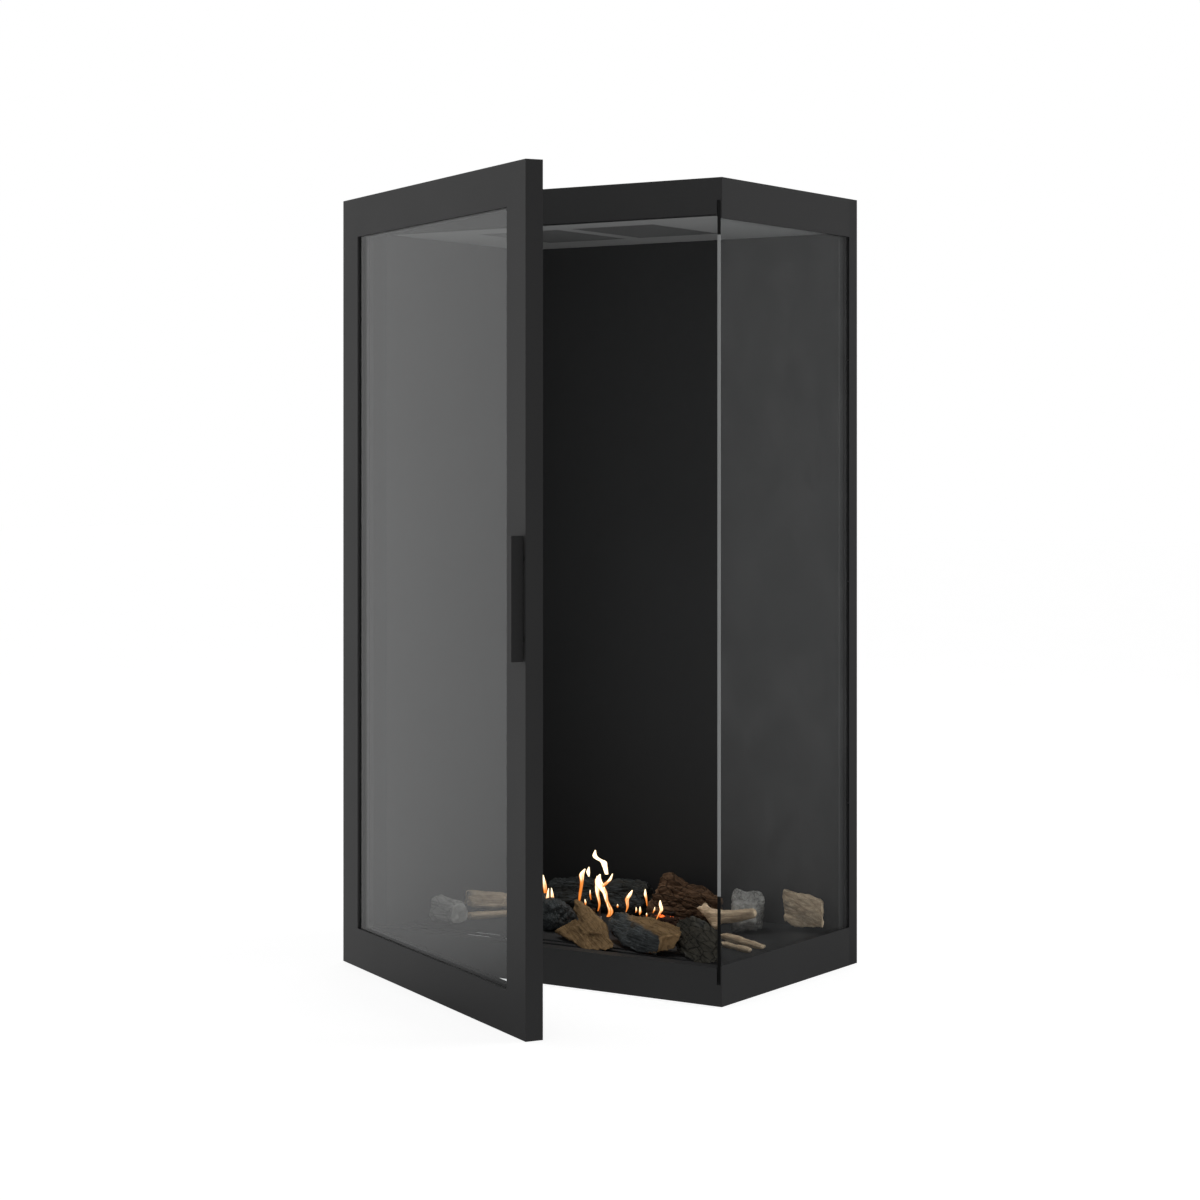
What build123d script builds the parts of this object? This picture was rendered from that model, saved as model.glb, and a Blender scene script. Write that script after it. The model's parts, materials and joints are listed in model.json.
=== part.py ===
from build123d import *
from math import atan2, cos, pi, radians, sin
import os

os.makedirs("parts", exist_ok=True)

# Tall two-sided gas fireplace: a glazed door on the front, hung at the left,
# and a fixed glass side at the right that meets the door at a frameless corner.
# Millimetres. +X right, +Y to the back, +Z up. The origin is the middle of the base.

# Driving dimensions of the body
BODY_WIDTH = 612.0
BODY_DEPTH = 378.0
BODY_HEIGHT = 1100.0
CASING_SHEET = 1.5
BAND_SHEET = 2.0
LINER_SHEET = 2.0
EDGE_ROUND = 0.6
CUT_PAST = 1.0

# Heights and widths that show from outside
FRONT_BAND_BOTTOM = 51.0
FRONT_BAND_TOP = 49.0
SIDE_BAND_BOTTOM = 54.5
SIDE_BAND_TOP = 54.5
BAND_FLANGE = 20.0
REAR_RETURN = 23.3
FRONT_RETURN = 18.4
JAMB_RECESS = 6.0
LINER_INSET = 44.0
TOP_RECESS = 10.0

# Door
DOOR_WIDTH = 611.4
DOOR_FRAME_DEPTH = 19.0
DOOR_BACKING_DEPTH = 5.0
DOOR_BORDER = 55.4
DOOR_GAP = 2.0
DOOR_LIP = 3.0
DOOR_REBATE = 12.0
DOOR_GLASS_SHEET = 4.0
GLASS_PLAY = 1.0
ROPE_WIDTH = 8.0
ROPE_IN_GROOVE = 3.0
ROPE_CLEARANCE = 0.3
SEAL_INSET = 26.0
DOOR_OPEN_ANGLE = 29.2

# Door hinge: an upright pin with a leg that runs into the door
HINGE_FROM_LEFT = 5.0
HINGE_FROM_FRONT = 7.45
HINGE_PIN_RADIUS = 2.5
HINGE_RUNNING_FIT = 0.05
HINGE_PIN_LENGTH = 15.0
HINGE_BLOCK_HEIGHT = 18.0
HINGE_BLOCK_SIDE = 13.5
HINGE_LEG_GRIP = 12.0
HINGE_LIFT = 0.3
HINGE_LEG_FROM_TOP = 23.0
HINGE_LEG_FROM_BASE = 22.8
NOTCH_MARGIN = 0.8

# Handle
HANDLE_WIDTH = 12.0
HANDLE_DEPTH = 16.0
HANDLE_STANDOFF = 2.0
HANDLE_LENGTH = 157.0
HANDLE_FROM_BASE = 473.0
HANDLE_FROM_EDGE = 3.5
HANDLE_SPACER_RADIUS = 4.0
HANDLE_SPACER_INSET = 28.0

# Side glass
SIDE_GLASS_SHEET = 5.0
SIDE_GLASS_BEHIND_BAND = 0.5
SIDE_GLASS_FROM_BASE = 31.0
SIDE_GLASS_FROM_TOP = 32.0
LEDGE_SHEET = 1.7
LEDGE_PLAY = 0.3
LEDGE_LIP = 2.0
CHANNEL_GRIP = 17.0

# Ceiling grilles
GRILLE_WIDTH = 136.0
GRILLE_DEPTH = 180.0
GRILLE_GAP = 24.0
GRILLE_FROM_LEFT = 156.0
GRILLE_FROM_FRONT = 80.0
GRILLE_BORDER = 6.0
GRILLE_SLOT = 4.5
GRILLE_PITCH = 9.0

# Floor slots and the burner under the fire bed
FLOOR_SLOT_WIDTH = 10.0
FLOOR_SLOT_LENGTH = 158.0
FLOOR_SLOT_PITCH = 170.0
FLOOR_SLOT_FRONT = 36.0
FLOOR_SLOT_ROW_PITCH = 20.0
FLOOR_SLOT_COUNT = 3
AIR_INLET_FROM_FRONT = 179.5
AIR_INLET_FROM_LEFT = 6.0
RAIL_FLANGE = 12.0
BURNER_FROM_LEFT = 215.0
BURNER_FROM_FRONT = 105.0
BURNER_WIDTH = 250.0
BURNER_DEPTH = 165.0
BURNER_TRAY_DEPTH = 22.0
BURNER_FLANGE = 9.0
BURNER_SHEET = 1.5
BURNER_PORT_LENGTH = 22.0
BURNER_PORT_WIDTH = 2.4
BURNER_PORT_PITCH_X = 32.0
BURNER_PORT_PITCH_Y = 24.0
FIT_GAP = 0.3

# Gas supply
GAS_PIPE_RADIUS = 5.0
GAS_PIPE_WALL = 1.0
GAS_HEIGHT = 13.0
GAS_INLET_FLATS = 19.0
GAS_INLET_BORE = 4.05
GAS_INLET_SOCKET = 14.0
GAS_INLET_LENGTH = 24.0
INJECTOR_RADIUS = 4.5
INJECTOR_LENGTH = 9.0

# Pilot
PILOT_FROM_LEFT = 296.0
PILOT_FROM_FRONT = 165.0
PILOT_RADIUS = 4.5
PILOT_HEIGHT = 30.0
PROBE_RADIUS = 1.5
PROBE_SPACING = 12.0
PROBE_HEIGHT = 34.0
PROBE_SLEEVE_RADIUS = 3.0
PROBE_SLEEVE_HEIGHT = 18.0

# Flue outlet in the top
FLUE_RADIUS = 50.0
AIR_RADIUS = 75.0
FLUE_WALL = 1.5
FLUE_FROM_LEFT = 306.0
FLUE_FROM_FRONT = 205.0
FLUE_SOCKET_LENGTH = 40.0
AIR_SOCKET_LENGTH = 26.0

# Pressure relief flaps in the top
FLAP_WIDTH = 92.0
FLAP_DEPTH = 150.0
FLAP_SHEET = 1.5
FLAP_REST = 8.0
FLAP_FROM_SIDE = 70.0
FLAP_FROM_FRONT = 130.0
FLAP_KNUCKLE_RADIUS = 2.8
FLAP_PIN_RADIUS = 1.5
FLAP_PIN_FIT = 0.05
FLAP_KNUCKLE_LENGTH = 20.0
FLAP_KNUCKLE_SPACING = 50.0
FLAP_EAR_WIDTH = 4.0
FLAP_EAR_GAP = 0.3
FLAP_EAR_RELIEF = 1.2
FLAP_LIFT = 0.3

# Fixings
WALL_HOLE_RADIUS = 4.5
WALL_HOLE_FROM_SIDE = 36.0
WALL_HOLE_FROM_END = 50.0
SCREW_HEAD_RADIUS = 3.6
SCREW_SHANK_RADIUS = 1.6
SCREW_LENGTH = 8.0
SCREW_HEAD_HEIGHT = 1.4
SCREW_SPACING = 320.0
SCREW_COUNT = 3
SCREW_SIDES = 10
SCREW_BITE = 0.1
MAGNET_RADIUS = 6.0
MAGNET_LENGTH = 8.0
MAGNET_FROM_RIGHT = 52.0

# Planes of the body worked out from the sizes above
LEFT = -BODY_WIDTH / 2
RIGHT = BODY_WIDTH / 2
FRONT = -BODY_DEPTH / 2
BACK = BODY_DEPTH / 2
FLOOR_TOP = FRONT_BAND_BOTTOM - BAND_SHEET
FLOOR_UNDER = FLOOR_TOP - LINER_SHEET
CEILING_UNDER = BODY_HEIGHT - FRONT_BAND_TOP
CEILING_TOP = CEILING_UNDER + LINER_SHEET
TOP_PANEL_TOP = BODY_HEIGHT - TOP_RECESS
TOP_PANEL_UNDER = TOP_PANEL_TOP - CASING_SHEET
LINER_LEFT = LEFT + LINER_INSET
LINER_BACK = BACK - REAR_RETURN - LINER_SHEET
BAND_INSIDE = RIGHT - BAND_SHEET
GLASS_OUTSIDE = BAND_INSIDE - SIDE_GLASS_BEHIND_BAND
GLASS_INSIDE = GLASS_OUTSIDE - SIDE_GLASS_SHEET
LEDGE_OUTSIDE = GLASS_INSIDE - LEDGE_PLAY
LEDGE_INSIDE = LEDGE_OUTSIDE - LEDGE_SHEET
NOTCH_LEFT = GLASS_INSIDE - LEDGE_PLAY
GLASS_REAR = BACK - REAR_RETURN - LEDGE_SHEET - 2 * LEDGE_PLAY
SIDE_GLASS_LOW = SIDE_GLASS_FROM_BASE
SIDE_GLASS_HIGH = BODY_HEIGHT - SIDE_GLASS_FROM_TOP
HINGE_LEGS = (HINGE_LEG_FROM_BASE, BODY_HEIGHT - HINGE_LEG_FROM_TOP)
PIVOT_X = LEFT + HINGE_FROM_LEFT
PIVOT_Y = FRONT + HINGE_FROM_FRONT
HINGE_AXIS = Axis((PIVOT_X, PIVOT_Y, 0), (0, 0, 1))
DOOR_BACK = FRONT - DOOR_GAP
DOOR_MIDDLE = DOOR_BACK - DOOR_BACKING_DEPTH
DOOR_FRONT = DOOR_MIDDLE - DOOR_FRAME_DEPTH
DOOR_RIGHT = LEFT + DOOR_WIDTH
BURNER_X = LEFT + BURNER_FROM_LEFT + BURNER_WIDTH / 2
BURNER_Y = FRONT + BURNER_FROM_FRONT + BURNER_DEPTH / 2
INLET_X = BURNER_X


def finish(builder, name):
    """Names a finished piece and writes its file."""
    builder.part.label = name
    export_step(builder.part, "parts/" + name + ".step")
    return builder.part


def slab(x, y, z, mode=Mode.ADD):
    """Adds or cuts a straight-sided block between three pairs of limits."""
    middle = ((x[0] + x[1]) / 2, (y[0] + y[1]) / 2, (z[0] + z[1]) / 2)
    with Locations(middle):
        Box(x[1] - x[0], y[1] - y[0], z[1] - z[0], mode=mode)


def folded(points, gauge, plane, length, side=Side.LEFT):
    """Adds a folded sheet: an outline bent along points, run for a length."""
    with BuildSketch(plane) as outline:
        with BuildLine():
            Polyline(*points)
            offset(amount=gauge, side=side, kind=Kind.INTERSECTION)
        make_face()
    extrude(outline.sketch, amount=length)


def ring(plane, width, height, border, depth):
    """Adds a rectangular frame of one border width, centred on the plane."""
    with BuildSketch(plane) as outline:
        Rectangle(width, height)
        Rectangle(width - 2 * border, height - 2 * border, mode=Mode.SUBTRACT)
    extrude(outline.sketch, amount=depth)


def swing_open(builder):
    """Turns a door piece, drawn shut, to the angle at which the door stands."""
    builder.part = builder.part.rotate(HINGE_AXIS, -DOOR_OPEN_ANGLE)


def door_plane(y):
    """Upright plane of the shut door, facing back, centred on the door."""
    middle = ((LEFT + DOOR_RIGHT) / 2, y, BODY_HEIGHT / 2)
    return Plane(origin=middle, x_dir=(1, 0, 0), z_dir=(0, -1, 0))


# Casing
with BuildPart() as left_casing:
    outline = [
        (LEFT + FRONT_RETURN, FRONT),
        (LEFT, FRONT),
        (LEFT, BACK - REAR_RETURN),
    ]
    folded(outline, CASING_SHEET, Plane.XY, BODY_HEIGHT, Side.RIGHT)
    notch_x = (LEFT - CUT_PAST, PIVOT_X + HINGE_PIN_RADIUS + NOTCH_MARGIN)
    notch_y = (FRONT - CUT_PAST, PIVOT_Y + 2 * HINGE_PIN_RADIUS)
    for leg in HINGE_LEGS:
        reach = HINGE_PIN_RADIUS + NOTCH_MARGIN
        slab(notch_x, notch_y, (leg - reach, leg + reach), Mode.SUBTRACT)
finish(left_casing, "left_casing")

screw_spots = GridLocations(BODY_WIDTH - REAR_RETURN, SCREW_SPACING, 2, SCREW_COUNT)
rear_plane = Plane(origin=(0, BACK, BODY_HEIGHT / 2), x_dir=(-1, 0, 0), z_dir=(0, 1, 0))
with BuildPart() as back_casing:
    outline = [
        (LEFT, BACK - REAR_RETURN),
        (LEFT, BACK),
        (RIGHT, BACK),
        (RIGHT, BACK - REAR_RETURN),
    ]
    folded(outline, CASING_SHEET, Plane.XY, BODY_HEIGHT, Side.RIGHT)
    with BuildSketch(rear_plane):
        wall_x = BODY_WIDTH - 2 * WALL_HOLE_FROM_SIDE
        wall_z = BODY_HEIGHT - 2 * WALL_HOLE_FROM_END
        with GridLocations(wall_x, wall_z, 2, 2):
            Circle(WALL_HOLE_RADIUS)
        with screw_spots:
            Circle(SCREW_SHANK_RADIUS + SCREW_BITE)
        with Locations((-INLET_X, GAS_HEIGHT - BODY_HEIGHT / 2)):
            RegularPolygon(GAS_INLET_FLATS / 2 + FIT_GAP, 6, major_radius=False)
    extrude(amount=-2 * CASING_SHEET, mode=Mode.SUBTRACT)
finish(back_casing, "back_casing")

with BuildPart() as base_pan:
    x = (LEFT + CASING_SHEET, BAND_INSIDE)
    y = (FRONT + BAND_SHEET, BACK - CASING_SHEET)
    slab(x, y, (0, CASING_SHEET))
    slab(x, (y[1] - CASING_SHEET, y[1]), (0, GAS_HEIGHT - GAS_INLET_FLATS / 2 - FIT_GAP))
    inlet_x = (LEFT + AIR_INLET_FROM_LEFT, LEFT + BURNER_FROM_LEFT - BURNER_FLANGE)
    inlet_y = (FRONT + AIR_INLET_FROM_FRONT, BACK - REAR_RETURN - RAIL_FLANGE)
    slab(inlet_x, inlet_y, (-CUT_PAST, CASING_SHEET + CUT_PAST), Mode.SUBTRACT)
finish(base_pan, "base_pan")

FLAP_Y = FRONT + FLAP_FROM_FRONT + FLAP_DEPTH / 2
FLAP_X = BODY_WIDTH / 2 - FLAP_FROM_SIDE - FLAP_WIDTH / 2
FLUE_X = LEFT + FLUE_FROM_LEFT
FLUE_Y = FRONT + FLUE_FROM_FRONT
with BuildPart() as top_casing:
    slab(
        (LEFT + CASING_SHEET, BAND_INSIDE),
        (FRONT + BAND_SHEET, BACK - CASING_SHEET),
        (TOP_PANEL_UNDER, TOP_PANEL_TOP),
    )
    with BuildSketch(Plane.XY.offset(TOP_PANEL_TOP)):
        with Locations((FLUE_X, FLUE_Y)):
            Circle(AIR_RADIUS)
        with Locations((-FLAP_X, FLAP_Y), (FLAP_X, FLAP_Y)):
            Rectangle(FLAP_WIDTH - 2 * FLAP_REST, FLAP_DEPTH - 2 * FLAP_REST)
    extrude(amount=-2 * CASING_SHEET, mode=Mode.SUBTRACT)
finish(top_casing, "top_casing")

# Bands round the front and the glass side
with BuildPart() as front_bottom_band:
    outline = [
        (FRONT + BAND_FLANGE, FRONT_BAND_BOTTOM),
        (FRONT, FRONT_BAND_BOTTOM),
        (FRONT, 0),
    ]
    start = Plane.YZ.offset(LEFT + FRONT_RETURN)
    folded(outline, BAND_SHEET, start, BAND_INSIDE - LEFT - FRONT_RETURN)
    notch = (SIDE_GLASS_LOW - LEDGE_SHEET - LEDGE_PLAY, FRONT_BAND_BOTTOM + CUT_PAST)
    slab((NOTCH_LEFT, RIGHT), (FRONT - CUT_PAST, FRONT + BAND_FLANGE + CUT_PAST), notch, Mode.SUBTRACT)
    slab((LEDGE_INSIDE, RIGHT), (FRONT + BAND_SHEET, BACK), notch, Mode.SUBTRACT)
finish(front_bottom_band, "front_bottom_band")

with BuildPart() as front_top_band:
    outline = [
        (FRONT, BODY_HEIGHT),
        (FRONT, CEILING_UNDER),
        (FRONT + BAND_FLANGE, CEILING_UNDER),
    ]
    folded(outline, BAND_SHEET, start, BAND_INSIDE - LEFT - FRONT_RETURN)
    notch = (CEILING_UNDER - CUT_PAST, SIDE_GLASS_HIGH + LEDGE_SHEET + LEDGE_PLAY)
    slab((NOTCH_LEFT, RIGHT), (FRONT - CUT_PAST, FRONT + BAND_FLANGE + CUT_PAST), notch, Mode.SUBTRACT)
    slab((LEDGE_INSIDE, RIGHT), (FRONT + BAND_SHEET, BACK), notch, Mode.SUBTRACT)
finish(front_top_band, "front_top_band")

SIDE_BAND_REAR = BACK - REAR_RETURN
with BuildPart() as side_bottom_band:
    slab((BAND_INSIDE, RIGHT), (FRONT, SIDE_BAND_REAR), (0, SIDE_BAND_BOTTOM))
    fillet(edges().filter_by(Axis.Z).sort_by(Axis.Y)[:2].sort_by(Axis.X)[-1], EDGE_ROUND)
finish(side_bottom_band, "side_bottom_band")

with BuildPart() as side_top_band:
    low = BODY_HEIGHT - SIDE_BAND_TOP
    slab((BAND_INSIDE, RIGHT), (FRONT, SIDE_BAND_REAR), (low, BODY_HEIGHT))
    fillet(edges().filter_by(Axis.Z).sort_by(Axis.Y)[:2].sort_by(Axis.X)[-1], EDGE_ROUND)
finish(side_top_band, "side_top_band")

# Fixed glass side and what holds it
with BuildPart() as side_glass:
    slab(
        (GLASS_INSIDE, GLASS_OUTSIDE),
        (FRONT + LEDGE_PLAY, GLASS_REAR),
        (SIDE_GLASS_LOW, SIDE_GLASS_HIGH),
    )
    chamfer(edges().filter_by(Axis.Z).group_by(Axis.Y)[0], EDGE_ROUND)
finish(side_glass, "side_glass")

ledge_start = Plane.XZ.offset(-FRONT - BAND_SHEET)
ledge_length = BACK - REAR_RETURN - LEDGE_SHEET - LEDGE_PLAY - FRONT - BAND_SHEET
with BuildPart() as glass_ledge_bottom:
    outline = [
        (LEDGE_OUTSIDE, FLOOR_TOP + LEDGE_LIP),
        (LEDGE_OUTSIDE, SIDE_GLASS_LOW),
        (BAND_INSIDE, SIDE_GLASS_LOW),
    ]
    folded(outline, LEDGE_SHEET, ledge_start, -ledge_length, Side.RIGHT)
finish(glass_ledge_bottom, "glass_ledge_bottom")

with BuildPart() as glass_ledge_top:
    outline = [
        (LEDGE_OUTSIDE, CEILING_UNDER - LEDGE_LIP),
        (LEDGE_OUTSIDE, SIDE_GLASS_HIGH + LEDGE_PLAY),
        (BAND_INSIDE, SIDE_GLASS_HIGH + LEDGE_PLAY),
    ]
    folded(outline, LEDGE_SHEET, ledge_start, -ledge_length)
finish(glass_ledge_top, "glass_ledge_top")

with BuildPart() as glass_channel_rear:
    outline = [
        (LEDGE_OUTSIDE, SIDE_BAND_REAR - CHANNEL_GRIP),
        (LEDGE_OUTSIDE, SIDE_BAND_REAR - LEDGE_SHEET),
        (GLASS_OUTSIDE, SIDE_BAND_REAR - LEDGE_SHEET),
    ]
    low = FLOOR_TOP + LEDGE_LIP + LEDGE_PLAY
    high = CEILING_UNDER - LEDGE_LIP - LEDGE_PLAY
    folded(outline, LEDGE_SHEET, Plane.XY.offset(low), high - low)
finish(glass_channel_rear, "glass_channel_rear")

# Jamb and liners of the chamber
with BuildPart() as left_jamb:
    outline = [
        (LEFT + FRONT_RETURN * 2 / 3, FRONT + CASING_SHEET),
        (LEFT + FRONT_RETURN + CASING_SHEET, FRONT + CASING_SHEET),
        (LEFT + FRONT_RETURN + CASING_SHEET, FRONT + JAMB_RECESS),
        (LINER_LEFT - LINER_SHEET, FRONT + JAMB_RECESS),
    ]
    low = FRONT_BAND_BOTTOM
    folded(outline, CASING_SHEET, Plane.XY.offset(low), CEILING_UNDER - low)
finish(left_jamb, "left_jamb")

with BuildPart() as left_liner:
    slab(
        (LINER_LEFT - LINER_SHEET, LINER_LEFT),
        (FRONT + BAND_FLANGE, LINER_BACK),
        (FLOOR_TOP, CEILING_UNDER),
    )
    slab(
        (LINER_LEFT - LINER_SHEET, LINER_LEFT),
        (FRONT + JAMB_RECESS, FRONT + BAND_FLANGE),
        (FRONT_BAND_BOTTOM, CEILING_UNDER),
    )
finish(left_liner, "left_liner")

with BuildPart() as back_liner:
    slab(
        (LINER_LEFT - LINER_SHEET, LEDGE_INSIDE),
        (LINER_BACK, LINER_BACK + LINER_SHEET),
        (FLOOR_TOP, CEILING_UNDER),
    )
finish(back_liner, "back_liner")

GRILLE_X = [
    LEFT + GRILLE_FROM_LEFT + GRILLE_WIDTH / 2,
    LEFT + GRILLE_FROM_LEFT + GRILLE_WIDTH * 3 / 2 + GRILLE_GAP,
]
GRILLE_Y = FRONT + GRILLE_FROM_FRONT + GRILLE_DEPTH / 2
grille_spots = Locations(*[(x, GRILLE_Y) for x in GRILLE_X])
with BuildPart() as chamber_ceiling:
    slab(
        (LINER_LEFT - LINER_SHEET, LEDGE_INSIDE),
        (FRONT + BAND_FLANGE, LINER_BACK + LINER_SHEET),
        (CEILING_UNDER, CEILING_TOP),
    )
    with BuildSketch(Plane.XY.offset(CEILING_UNDER)):
        with grille_spots:
            Rectangle(GRILLE_WIDTH + 2 * FIT_GAP, GRILLE_DEPTH + 2 * FIT_GAP)
    extrude(amount=LINER_SHEET, mode=Mode.SUBTRACT)
finish(chamber_ceiling, "chamber_ceiling")

SLOT_COUNT = int((GRILLE_DEPTH - 2 * GRILLE_BORDER) / GRILLE_PITCH)
for side_name, grille_x in zip(("left", "right"), GRILLE_X):
    with BuildPart() as ceiling_grille:
        with BuildSketch(Plane((grille_x, GRILLE_Y, CEILING_UNDER))):
            Rectangle(GRILLE_WIDTH, GRILLE_DEPTH)
        extrude(amount=LINER_SHEET)
        with BuildSketch(Plane((grille_x, GRILLE_Y, CEILING_TOP))):
            Rectangle(GRILLE_WIDTH + 4 * GRILLE_BORDER / 3, GRILLE_DEPTH + 4 * GRILLE_BORDER / 3)
        extrude(amount=CASING_SHEET)
        with BuildSketch(Plane((grille_x, GRILLE_Y, CEILING_UNDER))):
            with GridLocations(0, GRILLE_PITCH, 1, SLOT_COUNT):
                Rectangle(GRILLE_WIDTH - 2 * GRILLE_BORDER, GRILLE_SLOT)
        extrude(amount=LINER_SHEET + CASING_SHEET, mode=Mode.SUBTRACT)
    finish(ceiling_grille, "ceiling_grille_" + side_name)

# Floor of the chamber
SLOT_Y = FRONT + FLOOR_SLOT_FRONT + FLOOR_SLOT_ROW_PITCH / 2
with BuildPart() as chamber_floor:
    slab(
        (LINER_LEFT - LINER_SHEET, LEDGE_INSIDE),
        (FRONT + BAND_SHEET, LINER_BACK + LINER_SHEET),
        (FLOOR_UNDER, FLOOR_TOP),
    )
    with BuildSketch(Plane.XY.offset(FLOOR_TOP)):
        with Locations((0, SLOT_Y)):
            with GridLocations(FLOOR_SLOT_PITCH, FLOOR_SLOT_ROW_PITCH, FLOOR_SLOT_COUNT, 2):
                SlotOverall(FLOOR_SLOT_LENGTH, FLOOR_SLOT_WIDTH)
        with Locations((BURNER_X, BURNER_Y)):
            Rectangle(BURNER_WIDTH, BURNER_DEPTH)
    extrude(amount=-LINER_SHEET, mode=Mode.SUBTRACT)
finish(chamber_floor, "chamber_floor")

with BuildPart() as floor_rails:
    rail_start = Plane.YZ.offset(LINER_LEFT)
    rail_length = LEDGE_INSIDE - LINER_LEFT
    for rail_y in (FRONT + BAND_FLANGE - RAIL_FLANGE, LINER_BACK - RAIL_FLANGE):
        outline = [
            (rail_y, FLOOR_UNDER),
            (rail_y + RAIL_FLANGE, FLOOR_UNDER),
            (rail_y + RAIL_FLANGE, CASING_SHEET),
        ]
        folded(outline, CASING_SHEET, rail_start, rail_length, Side.RIGHT)
    with BuildSketch(Plane.XZ.offset(-LINER_BACK)):
        with Locations((INLET_X, GAS_HEIGHT)):
            Circle(GAS_PIPE_RADIUS + FIT_GAP)
    extrude(amount=2 * RAIL_FLANGE, mode=Mode.SUBTRACT)
finish(floor_rails, "floor_rails")

# Burner and gas supply
TRAY_UNDER = FLOOR_UNDER - BURNER_TRAY_DEPTH
INJECTOR_Y = BURNER_Y - GAS_PIPE_RADIUS
with BuildPart() as burner_tray:
    tray_plane = Plane((BURNER_X, BURNER_Y, FLOOR_UNDER))
    with BuildSketch(tray_plane):
        Rectangle(BURNER_WIDTH, BURNER_DEPTH)
    extrude(amount=-BURNER_TRAY_DEPTH)
    offset(amount=-BURNER_SHEET, openings=faces().sort_by(Axis.Z)[-1])
    with BuildSketch(tray_plane):
        Rectangle(BURNER_WIDTH + 2 * BURNER_FLANGE, BURNER_DEPTH + 2 * BURNER_FLANGE)
        Rectangle(BURNER_WIDTH, BURNER_DEPTH, mode=Mode.SUBTRACT)
    extrude(amount=-BURNER_SHEET)
    with BuildSketch(Plane((BURNER_X, INJECTOR_Y, TRAY_UNDER))):
        Circle(INJECTOR_RADIUS + FIT_GAP)
    extrude(amount=BURNER_SHEET, mode=Mode.SUBTRACT)
finish(burner_tray, "burner_tray")

with BuildPart() as burner_plate:
    with BuildSketch(Plane((BURNER_X, BURNER_Y, FLOOR_UNDER))):
        Rectangle(BURNER_WIDTH - 2 * FIT_GAP, BURNER_DEPTH - 2 * FIT_GAP)
    extrude(amount=LINER_SHEET)
    lip_x = BURNER_WIDTH - 2 * BURNER_SHEET - 2 * FIT_GAP
    lip_y = BURNER_DEPTH - 2 * BURNER_SHEET - 2 * FIT_GAP
    with BuildSketch(Plane((BURNER_X, BURNER_Y, FLOOR_UNDER - BURNER_FLANGE))):
        Rectangle(lip_x, lip_y)
        Rectangle(lip_x - 2 * BURNER_SHEET, lip_y - 2 * BURNER_SHEET, mode=Mode.SUBTRACT)
    extrude(amount=BURNER_FLANGE)
    count_x = int((BURNER_WIDTH - BURNER_PORT_PITCH_X) / BURNER_PORT_PITCH_X)
    count_y = int((BURNER_DEPTH - BURNER_PORT_PITCH_Y) / BURNER_PORT_PITCH_Y)
    with BuildSketch(Plane((BURNER_X, BURNER_Y, FLOOR_UNDER))):
        with GridLocations(BURNER_PORT_PITCH_X, BURNER_PORT_PITCH_Y, count_x, count_y):
            Rectangle(BURNER_PORT_LENGTH, BURNER_PORT_WIDTH)
    extrude(amount=LINER_SHEET, mode=Mode.SUBTRACT)
finish(burner_plate, "burner_plate")

INLET_FRONT = BACK - GAS_INLET_LENGTH
with BuildPart() as gas_inlet_fitting:
    inlet_plane = Plane(origin=(INLET_X, BACK, GAS_HEIGHT), x_dir=(-1, 0, 0), z_dir=(0, 1, 0))
    with BuildSketch(inlet_plane):
        RegularPolygon(GAS_INLET_FLATS / 2, 6, major_radius=False)
    extrude(amount=-GAS_INLET_LENGTH)
    with BuildSketch(inlet_plane):
        Circle(GAS_INLET_BORE)
    extrude(amount=-GAS_INLET_SOCKET, mode=Mode.SUBTRACT)
    with BuildSketch(inlet_plane):
        Circle(GAS_PIPE_RADIUS - GAS_PIPE_WALL - FIT_GAP)
    extrude(amount=-GAS_INLET_LENGTH, mode=Mode.SUBTRACT)
finish(gas_inlet_fitting, "gas_inlet_fitting")

with BuildPart() as gas_pipe:
    with BuildSketch(Plane.XZ.offset(-INLET_FRONT)):
        with Locations((INLET_X, GAS_HEIGHT)):
            Circle(GAS_PIPE_RADIUS)
            Circle(GAS_PIPE_RADIUS - GAS_PIPE_WALL, mode=Mode.SUBTRACT)
    extrude(amount=INLET_FRONT - BURNER_Y)
finish(gas_pipe, "gas_pipe")

with BuildPart() as gas_injector:
    socket_low = GAS_HEIGHT - GAS_PIPE_RADIUS
    with BuildSketch(Plane((BURNER_X, INJECTOR_Y, socket_low))):
        Rectangle(3 * GAS_PIPE_RADIUS, 2 * GAS_PIPE_RADIUS)
    extrude(amount=TRAY_UNDER - socket_low)
    with BuildSketch(Plane((BURNER_X, INJECTOR_Y, TRAY_UNDER))):
        Circle(INJECTOR_RADIUS)
    extrude(amount=INJECTOR_LENGTH)
finish(gas_injector, "gas_injector")

# Pilot, spark electrode and flame sensor beside the burner
PILOT_X = LEFT + PILOT_FROM_LEFT
PILOT_Y = FRONT + PILOT_FROM_FRONT
with BuildPart() as pilot_burner:
    with BuildSketch(Plane.XY.offset(FLOOR_TOP)):
        with Locations((PILOT_X, PILOT_Y)):
            SlotOverall(2 * PROBE_SPACING + 3 * PROBE_SLEEVE_RADIUS, 3 * PILOT_RADIUS)
    extrude(amount=BURNER_SHEET)
    with BuildSketch(Plane.XY.offset(FLOOR_TOP + BURNER_SHEET)):
        with Locations((PILOT_X, PILOT_Y)):
            Circle(PILOT_RADIUS)
    extrude(amount=PILOT_HEIGHT - BURNER_SHEET)
    with BuildSketch(Plane.XY.offset(FLOOR_TOP + PILOT_HEIGHT)):
        with Locations((PILOT_X, PILOT_Y)):
            Circle(PILOT_RADIUS / 2)
    extrude(amount=-PILOT_HEIGHT / 2, mode=Mode.SUBTRACT)
finish(pilot_burner, "pilot_burner")

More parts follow.
